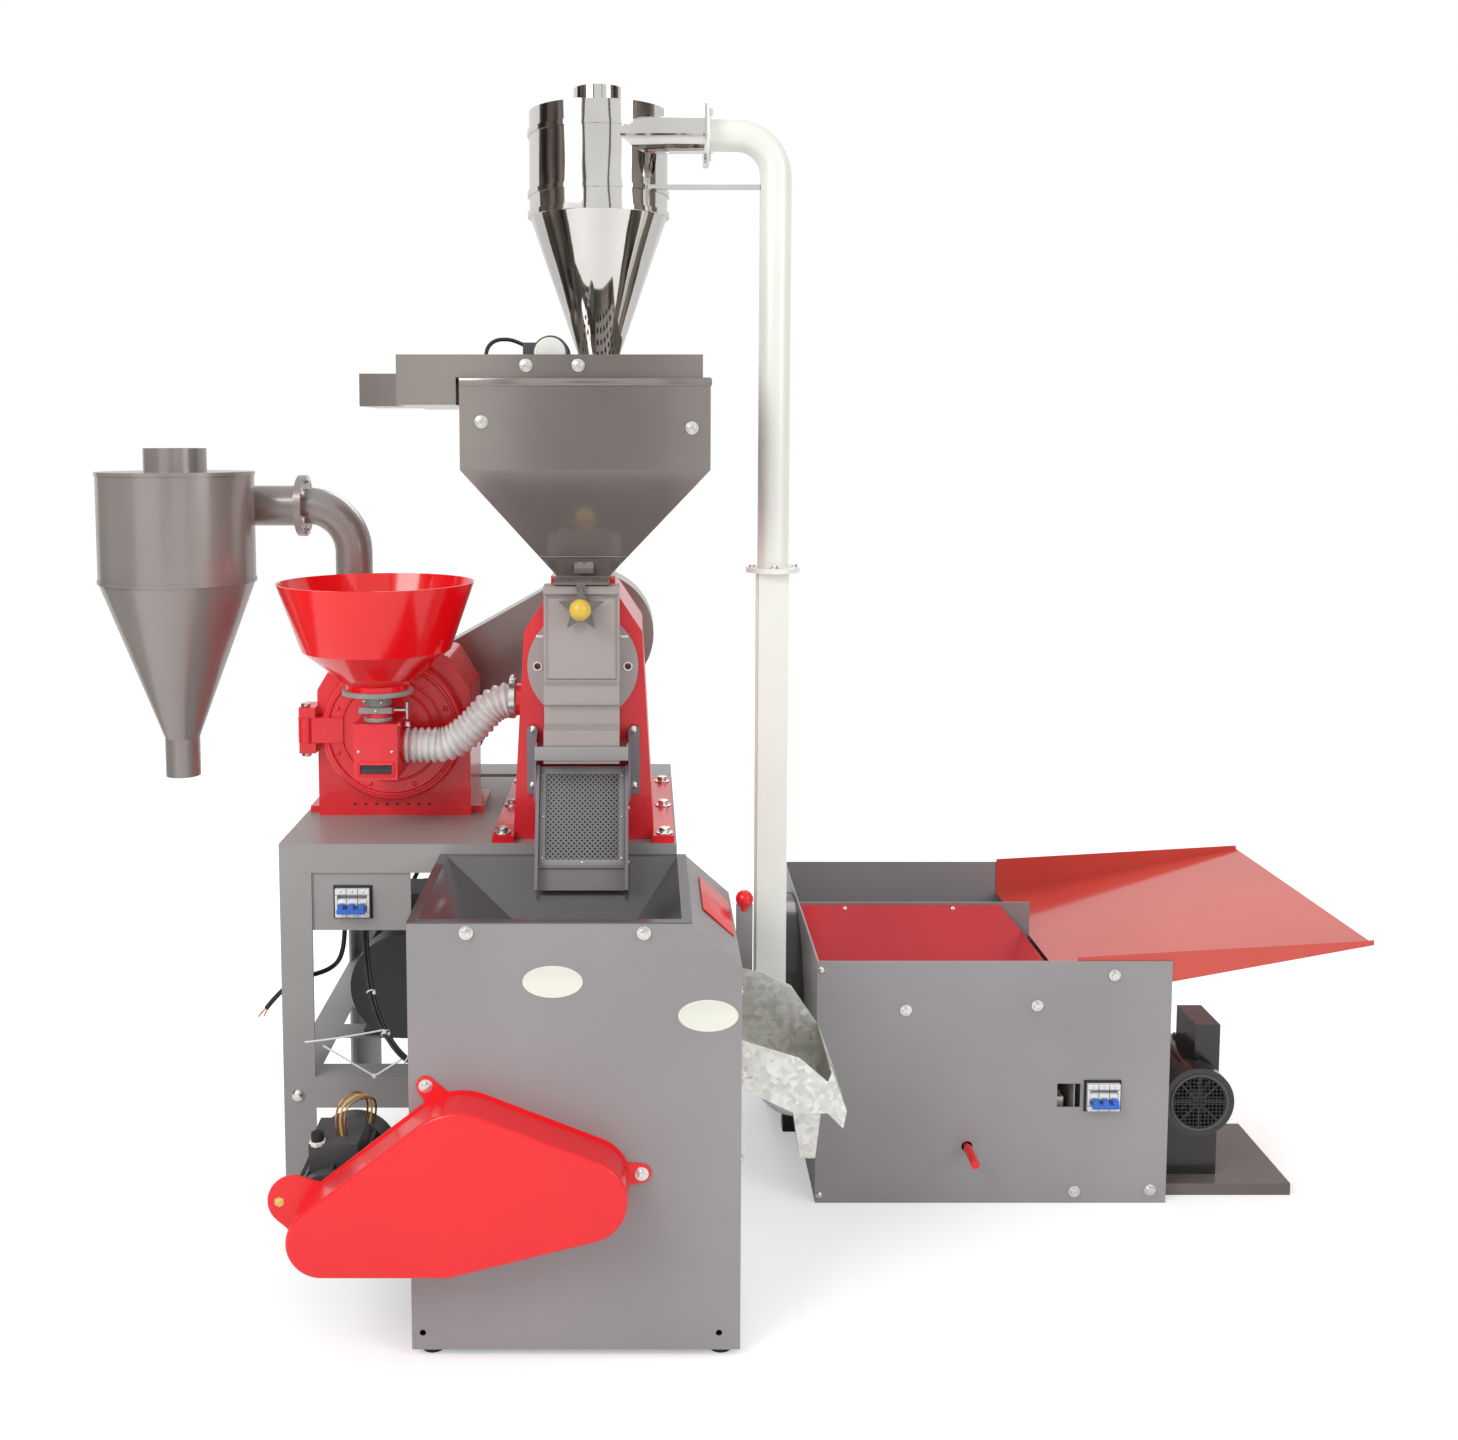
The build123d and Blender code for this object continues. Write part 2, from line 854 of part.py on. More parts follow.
# Feed gate: a flat blade under the hopper, its star plate and the ball knob in front
blade_bottom = huller_intake_top + seat_gap
blade_top = blade_bottom + gate_thickness
star_front = cover_front - 13
star_points = 5
star_outer = 34
star_inner = 15
with BuildPart() as feed_gate:
    block(
        huller_x - gate_half,
        huller_x + gate_half,
        star_front + 3,
        throat_y + throat_width / 2 + 4,
        blade_bottom,
        blade_top,
    )
    with BuildSketch(Plane.XZ.offset(-(star_front + 3))):
        with Locations((huller_x, blade_top - star_height / 2 - 2)):
            Rectangle(star_width - 20, star_height / 2 + 6)
        with BuildLine():
            star_z = blade_top - star_height / 2 - 6
            corners = []
            for tip in range(2 * star_points):
                reach = star_outer if tip % 2 == 0 else star_inner
                angle = radians(90 + tip * 180 / star_points)
                corners.append((huller_x + reach * cos(angle), star_z + reach * sin(angle)))
            Polyline(*corners, close=True)
        make_face()
    extrude(amount=3)
    block(
        huller_x - 24,
        huller_x + 24,
        star_front,
        star_front + 3,
        blade_bottom - 14,
        blade_top,
    )
    drum(huller_x, star_z + 2, star_front - 8, star_front, 5)
    with Locations((huller_x, star_front - 7 - knob_radius, star_z + 2)):
        Sphere(knob_radius)
save(feed_gate, "feed_gate")

# Main hopper: square sheet funnel on the huller's guide strips
shoulder_z = hopper_top - hopper_straight
half_hopper = hopper_width / 2
with BuildPart() as main_hopper:
    block(
        hopper_x - half_hopper,
        hopper_x + half_hopper,
        hopper_y - half_hopper,
        hopper_y + half_hopper,
        shoulder_z,
        hopper_top,
    )
    funnel(
        (huller_x, throat_y, hopper_bottom + 3, throat_width + 4, throat_width + 4),
        (hopper_x, hopper_y, shoulder_z, hopper_width, hopper_width),
    )
    block(
        huller_x - neck_half,
        huller_x + neck_half,
        throat_y - neck_half,
        throat_y + neck_half,
        hopper_bottom,
        hopper_bottom + 3,
    )
    block(
        hopper_x - half_hopper + sheet,
        hopper_x + half_hopper - sheet,
        hopper_y - half_hopper + sheet,
        hopper_y + half_hopper - sheet,
        shoulder_z,
        hopper_top + 1,
        Mode.SUBTRACT,
    )
    funnel(
        (huller_x, throat_y, hopper_bottom + 3, throat_width, throat_width),
        (hopper_x, hopper_y, shoulder_z, hopper_width - 2 * sheet, hopper_width - 2 * sheet),
        Mode.SUBTRACT,
    )
    block(
        huller_x - throat_width / 2,
        huller_x + throat_width / 2,
        throat_y - throat_width / 2,
        throat_y + throat_width / 2,
        hopper_bottom - 1,
        hopper_bottom + 4,
        Mode.SUBTRACT,
    )
save(main_hopper, "main_hopper")

# Sieve tray on the hopper: perforated floor, a deep pocket on its left, the straw spout and a cross bar
tray_floor = hopper_top + seat_gap
tray_back = tray_front + tray_depth
pocket_right = tray_left + tray_pocket - 8
tray_middle = (tray_front + tray_back) / 2
bar_top = vibrator_z - vibrator_radius - 2
with BuildPart() as sieve_tray:
    block(tray_left, tray_right, tray_front, tray_back, tray_floor, tray_rim)
    block(tray_left, pocket_right, tray_front, tray_back, tray_pocket_floor, tray_rim)
    block(
        tray_left + sheet,
        tray_right - sheet,
        tray_front + sheet,
        tray_back - sheet,
        tray_floor + sheet,
        tray_rim + 1,
        Mode.SUBTRACT,
    )
    block(
        tray_left + sheet,
        pocket_right - sheet,
        tray_front + sheet,
        tray_back - sheet,
        tray_pocket_floor + sheet,
        tray_rim,
        Mode.SUBTRACT,
    )
    with BuildSketch(Plane.XY.offset(tray_floor - 1)):
        with Locations(((hopper_x + 4, tray_middle))):
            with GridLocations(36, 36, 9, 8):
                Rectangle(18, 18)
    extrude(amount=4, mode=Mode.SUBTRACT)
    block(
        tray_spout_left,
        tray_left,
        tray_middle - tray_spout_depth / 2,
        tray_middle + tray_spout_depth / 2,
        tray_pocket_floor,
        tray_spout_rim,
    )
    block(
        tray_spout_left - 1,
        tray_left + sheet + 1,
        tray_middle - tray_spout_depth / 2 + sheet,
        tray_middle + tray_spout_depth / 2 - sheet,
        tray_pocket_floor + sheet,
        tray_spout_rim + 1,
        Mode.SUBTRACT,
    )
    block(
        vibrator_x - 34,
        vibrator_x + 34,
        tray_front,
        tray_back,
        bar_top - plate,
        bar_top,
    )
save(sieve_tray, "sieve_tray")

# Vibration motor on the tray's bar, with its two weight caps
with BuildPart() as vibration_motor:
    motor_start = vibrator_y - vibrator_length / 2
    motor_end = vibrator_y + vibrator_length / 2
    drum(vibrator_x, vibrator_z, motor_start, motor_end, vibrator_radius)
    drum(vibrator_x, vibrator_z, motor_start + 16, motor_start + 20, vibrator_radius + 1.5)
    drum(vibrator_x, vibrator_z, motor_end - 20, motor_end - 16, vibrator_radius + 1.5)
    block(vibrator_x - 32, vibrator_x + 32, motor_start + 16, motor_end - 16, bar_top, vibrator_z - 10)
    block(
        vibrator_x - 43,
        vibrator_x - vibrator_radius + 8,
        vibrator_y - 10,
        vibrator_y + 10,
        vibrator_z - 2,
        vibrator_z + 18,
    )
save(vibration_motor, "vibration_motor")

# Polished cyclone at the top of the lift
lift_flange = 4
steel_wall = 1.5
stay_z = steel_cyclone_knee + 33
with BuildPart() as steel_cyclone:
    turned(
        steel_cyclone_x,
        steel_cyclone_y,
        [
            (0, steel_cyclone_end - 26),
            (steel_spout_radius, steel_cyclone_end - 26),
            (steel_spout_radius, steel_cyclone_end),
            (steel_cyclone_radius, steel_cyclone_knee),
            (steel_cyclone_radius, steel_cyclone_top),
            (steel_cap_radius, steel_cyclone_top),
            (steel_cap_radius, cyclone_cap_top),
            (0, cyclone_cap_top),
        ],
    )
    for band_z in (steel_cyclone_knee, steel_cyclone_knee + 33, steel_cyclone_top - 34):
        post(
            steel_cyclone_x,
            steel_cyclone_y,
            band_z - steel_band_rise,
            band_z + steel_band_rise,
            steel_cyclone_radius + 3,
        )
    rod(riser_y, riser_top, steel_cyclone_x, steel_flange_x, riser_radius + 3)
    rod(riser_y, riser_top, steel_flange_x - lift_flange, steel_flange_x, 2 * riser_radius)
    block(
        steel_cyclone_x + 80,
        riser_x - riser_radius - seat_gap,
        riser_y - 8,
        riser_y + 8,
        stay_z - 3,
        stay_z + 3,
    )
    turned(
        steel_cyclone_x,
        steel_cyclone_y,
        [
            (0, steel_cyclone_end - 27),
            (steel_spout_radius - steel_wall, steel_cyclone_end - 27),
            (steel_spout_radius - steel_wall, steel_cyclone_end),
            (steel_cyclone_radius - steel_wall, steel_cyclone_knee),
            (steel_cyclone_radius - steel_wall, steel_cyclone_top - steel_wall),
            (steel_cap_radius - steel_wall, steel_cyclone_top - steel_wall),
            (steel_cap_radius - steel_wall, cyclone_cap_top + 1),
            (0, cyclone_cap_top + 1),
        ],
        Mode.SUBTRACT,
    )
    rod(riser_y, riser_top, steel_cyclone_x, steel_flange_x + 1, riser_radius + 1, Mode.SUBTRACT)
save(steel_cyclone, "steel_cyclone")

# Riser pipe from the joint flange up and over to the cyclone
pipe_wall = 2
with BuildPart() as riser_pipe:
    with BuildLine() as riser_path:
        FilletPolyline(
            (riser_x, riser_y, riser_joint),
            (riser_x, riser_y, riser_top),
            (steel_flange_x, riser_y, riser_top),
            radius=riser_bend,
        )
    with BuildSketch(Plane.XY.offset(riser_joint)):
        with Locations((riser_x, riser_y)):
            Circle(riser_radius)
            Circle(riser_radius - pipe_wall, mode=Mode.SUBTRACT)
    sweep(path=riser_path.line)
    bore = riser_radius - pipe_wall
    post(riser_x, riser_y, riser_joint, riser_joint + lift_flange, riser_radius + 18)
    post(riser_x, riser_y, riser_joint - 1, riser_joint + lift_flange + 1, bore, Mode.SUBTRACT)
    rod(riser_y, riser_top, steel_flange_x, steel_flange_x + lift_flange, 2 * riser_radius)
    rod(riser_y, riser_top, steel_flange_x - 1, steel_flange_x + lift_flange + 1, bore, Mode.SUBTRACT)
save(riser_pipe, "riser_pipe")

# Folded lower duct of the riser, square with a seam along its left face
duct_half = riser_duct_width / 2
elbow_top = lift_inlet + lift_bend + 12
seam_rise = 3
with BuildPart() as riser_duct:
    block(
        riser_x - duct_half,
        riser_x + duct_half,
        riser_y - duct_half,
        riser_y + duct_half,
        elbow_top,
        riser_joint - lift_flange,
    )
    block(
        riser_x - duct_half - seam_rise,
        riser_x - duct_half,
        riser_y - 6,
        riser_y + 6,
        elbow_top + 4,
        riser_joint - lift_flange,
    )
    post(riser_x, riser_y, riser_joint - lift_flange, riser_joint, riser_radius + 18)
    block(
        riser_x - duct_half + pipe_wall,
        riser_x + duct_half - pipe_wall,
        riser_y - duct_half + pipe_wall,
        riser_y + duct_half - pipe_wall,
        elbow_top - 1,
        riser_joint - lift_flange - 2,
        Mode.SUBTRACT,
    )
    post(riser_x, riser_y, riser_joint - 8, riser_joint + 1, duct_half - pipe_wall, Mode.SUBTRACT)
save(riser_duct, "riser_duct")

# Elbow from the cleaner's left wall up to the duct
elbow_reach = 6
with BuildPart() as riser_elbow:
    with BuildLine() as elbow_path:
        FilletPolyline(
            (riser_x, riser_y, elbow_top),
            (riser_x, riser_y, lift_inlet),
            (cleaner_left + elbow_reach, riser_y, lift_inlet),
            radius=lift_bend,
        )
    with BuildSketch(Plane.XY.offset(elbow_top)):
        with Locations((riser_x, riser_y)):
            Circle(riser_radius)
            Circle(riser_radius - pipe_wall, mode=Mode.SUBTRACT)
    sweep(path=elbow_path.line)
    block(
        riser_x - duct_half - 5,
        riser_x + duct_half + 5,
        riser_y - duct_half - 5,
        riser_y + duct_half + 5,
        elbow_top - 4,
        elbow_top,
    )
    post(riser_x, riser_y, elbow_top - 5, elbow_top + 1, riser_radius - pipe_wall, Mode.SUBTRACT)
save(riser_elbow, "riser_elbow")

# Flour mill body: a cast box with a round chamber, a boss for the blow pipe and the hinge lugs
mill_chamber_back = mill_front + mill_chamber_depth
mill_housing_back = mill_body_back + 28
mill_bearing_radius = 26
mill_foot_half = 146
blow_boss_top = 905
blow_bore = blow_pipe_radius - 3
hinge_y = mill_front - 17
lug_height = 17
arm_low = mill_axis - mill_hinge_arm_height / 2 + 3
arm_high = arm_low + mill_hinge_arm_height - 4
with BuildPart() as mill_body:
    front_outline(
        mill_front,
        mill_body_back,
        [
            (mill_x - mill_half, table_top),
            (mill_x + mill_half, table_top),
            (mill_x + mill_half, mill_shoulder),
            (mill_x + mill_top_half, mill_top),
            (mill_x - mill_top_half, mill_top),
            (mill_x - mill_half, mill_shoulder),
        ],
    )
    fillet(mill_body.edges().filter_by(Axis.Y).sort_by(Axis.Z)[2:], 16)
    block(
        mill_x - mill_foot_half,
        mill_x + mill_foot_half,
        mill_front + 20,
        mill_body_back - 12,
        table_top,
        table_top + 11,
    )
    post(blow_pipe_x, blow_pipe_y, mill_axis, blow_boss_top, blow_pipe_radius + 7)
    drum(mill_x, mill_axis, mill_body_back, mill_housing_back, mill_bearing_radius + 14)
    for low in (arm_low - seat_gap - lug_height, arm_high + seat_gap):
        block(
            mill_hinge_x - 10,
            mill_x - mill_half + 2,
            hinge_y - 10,
            mill_front + 30,
            low,
            low + lug_height,
        )
        post(mill_hinge_x, hinge_y, low, low + lug_height, 10)
    post(
        mill_hinge_x,
        hinge_y,
        arm_low - seat_gap - lug_height,
        arm_high + seat_gap + lug_height,
        mill_hinge_pin_radius,
    )
    drum(mill_x, mill_axis, mill_front - 1, mill_chamber_back, mill_chamber_radius, Mode.SUBTRACT)
    drum(mill_x, mill_axis, mill_chamber_back - 1, mill_housing_back + 1, mill_bearing_radius, Mode.SUBTRACT)
    post(blow_pipe_x, blow_pipe_y, mill_axis, blow_boss_top + 1, blow_bore, Mode.SUBTRACT)
save(mill_body, "mill_body")

# Ring sieve in the front of the chamber
sieve_front = mill_front + 3
sieve_back = mill_front + 45
with BuildPart() as ring_sieve:
    sieve_radius = mill_chamber_radius - seat_gap
    drum(mill_x, mill_axis, sieve_front, sieve_back, sieve_radius)
    drum(mill_x, mill_axis, sieve_front - 1, sieve_back + 1, sieve_radius - 4, Mode.SUBTRACT)
    with BuildSketch(Plane.XZ.offset(-(sieve_back - 8))):
        with Locations((mill_x, mill_axis)):
            with PolarLocations(mill_chamber_radius - 3, 18):
                Rectangle(12, 7)
    extrude(amount=26, mode=Mode.SUBTRACT)
save(ring_sieve, "ring_sieve")

# Mill rotor: disc with hammers in front, shaft and driven pulley
disc_front = mill_front + 50
with BuildPart() as mill_rotor:
    drum(mill_x, mill_axis, disc_front - 25, mill_lane + 16, mill_shaft_radius)
    drum(mill_x, mill_axis, disc_front, disc_front + 8, mill_rotor_radius)
    with BuildSketch(Plane.XZ.offset(-disc_front)):
        with Locations((mill_x, mill_axis)):
            with PolarLocations(mill_rotor_radius - 18, 8):
                Rectangle(22, 9)
    extrude(amount=36)
    pulley(mill_x, mill_axis, mill_lane, mill_pulley_radius)
save(mill_rotor, "mill_rotor")

# Mill door: disc, boss, hinge arm, inlet box with its neck and the hose stub
inlet_left = mill_feed_x - inlet_box_width / 2
inlet_right = mill_feed_x + inlet_box_width / 2
inlet_bottom = mill_axis - 57
inlet_top = inlet_bottom + inlet_box_height
inlet_front = mill_feed_y - 28
neck_radius = mill_neck_width / 2
hose_start_z = 763
stub_length = 12
slide_z = 827
slide_half = 14
slide_thickness = 3
with BuildPart() as mill_door:
    drum(mill_x, mill_axis, mill_door_front, mill_door_back, mill_door_radius)
    fillet(mill_door.edges().filter_by(GeomType.CIRCLE).sort_by(Axis.Y)[0], 6)
    drum(mill_x, mill_axis, mill_door_front - 14, mill_door_front, mill_boss_radius + 16)
    post(mill_hinge_x, hinge_y, arm_low, arm_high, 13)
    block(mill_hinge_x, mill_x - 80, hinge_y - 8, hinge_y + 8, arm_low, arm_high)
    block(inlet_left, inlet_right, inlet_front, mill_door_front - 10, inlet_bottom, inlet_top)
    post(mill_feed_x, mill_feed_y, inlet_top - 1, mill_neck_top, neck_radius)
    block(
        mill_feed_x - 15,
        mill_feed_x + neck_radius + 8,
        mill_feed_y - slide_half - 3,
        mill_feed_y + slide_half + 3,
        slide_z - 3,
        slide_z + slide_thickness + 3,
    )
    rod(port_y, hose_start_z, inlet_right - 2, inlet_right + stub_length, hose_radius - 3)
    post(mill_feed_x, mill_feed_y, mill_neck_top - 6, mill_neck_top, bowl_bottom_radius + 5)
    block(
        inlet_left + 3,
        inlet_right - 3,
        inlet_front + 3,
        mill_door_front - 14,
        inlet_bottom + 3,
        inlet_top - 3,
        Mode.SUBTRACT,
    )
    drum(mill_x, mill_axis, mill_door_front - 16, mill_door_back + 1, 24, Mode.SUBTRACT)
    post(mill_feed_x, mill_feed_y, inlet_top - 4, mill_neck_top + 1, neck_radius - 3, Mode.SUBTRACT)
    block(
        mill_feed_x - neck_radius + 4,
        mill_feed_x + neck_radius + 9,
        mill_feed_y - slide_half - seat_gap,
        mill_feed_y + slide_half + seat_gap,
        slide_z - seat_gap,
        slide_z + slide_thickness + seat_gap,
        Mode.SUBTRACT,
    )
    rod(port_y, hose_start_z, inlet_right - 4, inlet_right + stub_length + 1, port_bore, Mode.SUBTRACT)
    post(mill_hinge_x, hinge_y, arm_low - 1, arm_high + 1, mill_hinge_pin_radius + shaft_fit, Mode.SUBTRACT)
save(mill_door, "mill_door")

# Small feed slide of the mill, with its upturned end
with BuildPart() as mill_feed_slide:
    block(
        mill_feed_x - neck_radius + 5,
        mill_feed_x + neck_radius + 30,
        mill_feed_y - slide_half,
        mill_feed_y + slide_half,
        slide_z,
        slide_z + slide_thickness,
    )
    block(
        mill_feed_x + neck_radius + 27,
        mill_feed_x + neck_radius + 30,
        mill_feed_y - slide_half,
        mill_feed_y + slide_half,
        slide_z - 13,
        slide_z + 14,
    )
save(mill_feed_slide, "mill_feed_slide")

# Round hopper of the mill
hole = neck_radius - 3
with BuildPart() as mill_hopper:
    turned(
        mill_feed_x,
        mill_feed_y,
        [
            (hole, mill_neck_top),
            (bowl_bottom_radius, mill_neck_top),
            (bowl_bottom_radius, bowl_bottom),
            (bowl_knee_radius, bowl_knee),
            (bowl_radius, bowl_rim),
            (bowl_radius - bowl_wall, bowl_rim),
            (bowl_knee_radius - bowl_wall, bowl_knee + 1),
            (bowl_bottom_radius - bowl_wall, bowl_bottom + 3),
            (hole, bowl_bottom - 3),
        ],
    )
save(mill_hopper, "mill_hopper")

# Corrugated hose from the inlet box to the huller's port
hose_from = inlet_right + 2
with BuildPart() as corrugated_hose:
    with BuildLine() as hose_path:
        Spline(
            (hose_from, port_y, hose_start_z),
            (hose_from + 24, port_y, hose_start_z),
            (hose_port_x - 26, port_y, hose_port_z - 3),
            (hose_port_x - seat_gap, port_y, hose_port_z),
            tangents=((1, 0, 0), (1, 0, 0)),
        )
    with BuildSketch(hose_path.line ^ 0):
        Circle(hose_radius)
        Circle(hose_radius - 2.6, mode=Mode.SUBTRACT)
    sweep(path=hose_path.line)
save(corrugated_hose, "corrugated_hose")

# Belt guard behind the huller and the mill
guard_front = huller_pedestal_back
guard_back = huller_lane + 26
huller_guard = ((huller_x, huller_axis, 112), (mill_x, mill_axis, 66))
with BuildPart() as rear_belt_guard:
    wrap(guard_front, guard_back, huller_guard)
    wrap(guard_front + sheet, guard_back - sheet, huller_guard, -sheet, Mode.SUBTRACT)
    wrap(
        mill_lane - belt_slot_gap,
        mill_lane + belt_slot_gap,
        (
            (main_motor_x, main_motor_axis, main_pulley_mill_radius),
            (mill_x, mill_axis, mill_pulley_radius),
        ),
        belt_height + 6,
        Mode.SUBTRACT,
    )
    wrap(
        huller_lane - belt_slot_gap,
        huller_lane + belt_slot_gap,
        (
            (main_motor_x, main_motor_axis, main_pulley_huller_radius),
            (huller_x, huller_axis, huller_pulley_radius),
        ),
        belt_height + 6,
        Mode.SUBTRACT,
    )
    drum(huller_x, huller_axis, guard_front - 1, guard_front + 4, bearing_radius + 2, Mode.SUBTRACT)
    drum(mill_x, mill_axis, guard_front - 1, guard_front + 4, bearing_radius, Mode.SUBTRACT)
save(rear_belt_guard, "rear_belt_guard")

# Blow pipe from the mill up to the flour cyclone
blow_flange_x = flour_cyclone_x + flour_cyclone_radius + 61
with BuildPart() as cyclone_pipe:
    with BuildLine() as blow_path:
        FilletPolyline(
            (blow_pipe_x, blow_pipe_y, blow_boss_top),
            (blow_pipe_x, blow_pipe_y, blow_pipe_z),
            (blow_flange_x, blow_pipe_y, blow_pipe_z),
            radius=blow_pipe_bend,
        )
    with BuildSketch(Plane.XY.offset(blow_boss_top)):
        with Locations((blow_pipe_x, blow_pipe_y)):
            Circle(blow_pipe_radius)
            Circle(blow_pipe_radius - pipe_wall, mode=Mode.SUBTRACT)
    sweep(path=blow_path.line)
    rod(blow_pipe_y, blow_pipe_z, blow_flange_x, blow_flange_x + 6, blow_flange_radius)
    blow_bore = blow_pipe_radius - pipe_wall
    rod(blow_pipe_y, blow_pipe_z, blow_flange_x - 1, blow_flange_x + 7, blow_bore, Mode.SUBTRACT)
    post(blow_pipe_x, blow_pipe_y, blow_boss_top, blow_boss_top + 6, blow_pipe_radius + 7)
    post(
        blow_pipe_x,
        blow_pipe_y,
        blow_boss_top - 1,
        blow_boss_top + 7,
        blow_pipe_radius - pipe_wall,
        Mode.SUBTRACT,
    )
save(cyclone_pipe, "cyclone_pipe")

# Flour cyclone, painted sheet, with a tangential inlet
flour_wall = 2
shell_radius = flour_cyclone_radius - 1.5
with BuildPart() as flour_cyclone:
    turned(
        flour_cyclone_x,
        flour_cyclone_y,
        [
            (0, flour_cyclone_end),
            (flour_spout_radius, flour_cyclone_end),
            (flour_spout_radius, flour_cyclone_tip),
            (shell_radius, flour_cyclone_knee),
            (shell_radius, flour_cyclone_top),
            (flour_exhaust_radius, flour_cyclone_top),
            (flour_exhaust_radius, flour_exhaust_top),
            (0, flour_exhaust_top),
        ],
    )
    for seam_z in (flour_cyclone_knee, flour_cyclone_top - 3):
        post(flour_cyclone_x, flour_cyclone_y, seam_z - 3, seam_z + 3, flour_cyclone_radius)
    rod(blow_pipe_y, blow_pipe_z, flour_cyclone_x, blow_flange_x, blow_pipe_radius + 3)
    rod(blow_pipe_y, blow_pipe_z, blow_flange_x - 6, blow_flange_x, blow_flange_radius)
    turned(
        flour_cyclone_x,
        flour_cyclone_y,
        [
            (0, flour_cyclone_end - 1),
            (flour_spout_radius - flour_wall, flour_cyclone_end - 1),
            (flour_spout_radius - flour_wall, flour_cyclone_tip),
            (shell_radius - flour_wall, flour_cyclone_knee),
            (shell_radius - flour_wall, flour_cyclone_top - flour_wall),
            (flour_exhaust_radius - flour_wall, flour_cyclone_top - flour_wall),
            (flour_exhaust_radius - flour_wall, flour_exhaust_top + 1),
            (0, flour_exhaust_top + 1),
        ],
        Mode.SUBTRACT,
    )
    rod(blow_pipe_y, blow_pipe_z, flour_cyclone_x, blow_flange_x + 1, blow_pipe_radius, Mode.SUBTRACT)
save(flour_cyclone, "flour_cyclone")

# Destoner cab: folded sheet shell with a slanted shoulder, corner plates, and the pin of the stone gate
shell_top = cab_top - sheet
shoulder_low = cab_top - cab_shoulder_drop
outlet_front = cab_front + 59
outlet_back = outlet_front + 150
outlet_low = 370
outlet_high = 470
pan_inset = 12
gate_pin_y = -187
gate_pin_z = 425
shaft_hole = drive_bearing_radius - 6
deck_left = cab_left + 25
deck_right = cab_right - 45
deck_front = cab_front + 20
deck_back = cab_back - 22
deck_low = 380
with BuildPart() as cab_body:
    front_outline(
        cab_front,
        cab_back,
        [
            (cab_left, cab_skirt),
            (cab_right, cab_skirt),
            (cab_right, shoulder_low),
            (pan_right, shell_top),
            (cab_left, shell_top),
        ],
    )
    front_outline(
        cab_front + sheet,
        cab_back - sheet,
        [
            (cab_left + sheet, cab_skirt - 1),
            (cab_right - sheet, cab_skirt - 1),
            (cab_right - sheet, shoulder_low - 1),
            (pan_right - 1, shell_top - sheet),
            (cab_left + sheet, shell_top - sheet),
        ],
        Mode.SUBTRACT,
    )
    block(
        cab_left + pan_inset - seat_gap,
        pan_right - pan_inset + seat_gap,
        cab_front + pan_inset - seat_gap,
        cab_back - pan_inset + seat_gap,
        shell_top - 3,
        shell_top + 1,
        Mode.SUBTRACT,
    )
    block(
        cab_right - 3, cab_right + 1, outlet_front + 2, outlet_back - 2,
        outlet_low, outlet_high, Mode.SUBTRACT,
    )
    for x, z in ((eccentric_x, eccentric_z), (fan_x, fan_z)):
        drum(x, z, cab_front - 1, cab_front + 3, shaft_hole, Mode.SUBTRACT)
    with BuildSketch(Plane.XZ.offset(-cab_front - 3)):
        with Locations((cab_x - 7, cab_hole_height)):
            with GridLocations(cab_hole_spacing, 0, 2, 1):
                Circle(bolt_hole_radius)
    extrude(amount=4, mode=Mode.SUBTRACT)
    for x_side, x_in in ((cab_left, 1), (cab_right, -1)):
        for y_side, y_in in ((cab_front, 1), (cab_back, -1)):
            x_sides = sorted((x_side + x_in, x_side + x_in * 2 * foot_inset))
            y_sides = sorted((y_side + y_in, y_side + y_in * 2 * foot_inset))
            block(*x_sides, *y_sides, cab_skirt, cab_skirt + 3)
    rod(gate_pin_y, gate_pin_z, cab_right - 1, cab_right + 38, 6)
    for y_low, y_high in ((cab_front + 1, deck_front + 12), (deck_back - 12, cab_back - 1)):
        block(deck_left, deck_right, y_low, y_high, deck_low - 8, deck_low - seat_gap)
save(cab_body, "cab_body")

# Rubber feet under the corner plates
with BuildPart() as cab_feet:
    with BuildSketch():
        with Locations((cab_x, cab_y)):
            with GridLocations(cab_width - 2 * foot_inset, cab_depth - 2 * foot_inset, 2, 2):
                Circle(foot_radius)
    extrude(amount=cab_skirt)
save(cab_feet, "cab_feet")

# Pan funnel on top of the cab
slot_x = -237
pan_width = pan_right - cab_left
with BuildPart() as cab_pan:
    block(cab_left, pan_right, cab_front, cab_back, shell_top, cab_top)
    funnel(
        (slot_x, cab_y, cab_top - pan_drop, pan_slot_width + 4, pan_slot_depth + 4),
        (pan_x, cab_y, shell_top, pan_width - 2 * pan_inset, cab_depth - 2 * pan_inset),
    )
    funnel(
        (slot_x, cab_y, cab_top - pan_drop - 0.1, pan_slot_width, pan_slot_depth),
        (pan_x, cab_y, cab_top + 0.1, pan_width - 2 * pan_inset - 4, cab_depth - 2 * pan_inset - 4),
        Mode.SUBTRACT,
    )
save(cab_pan, "cab_pan")

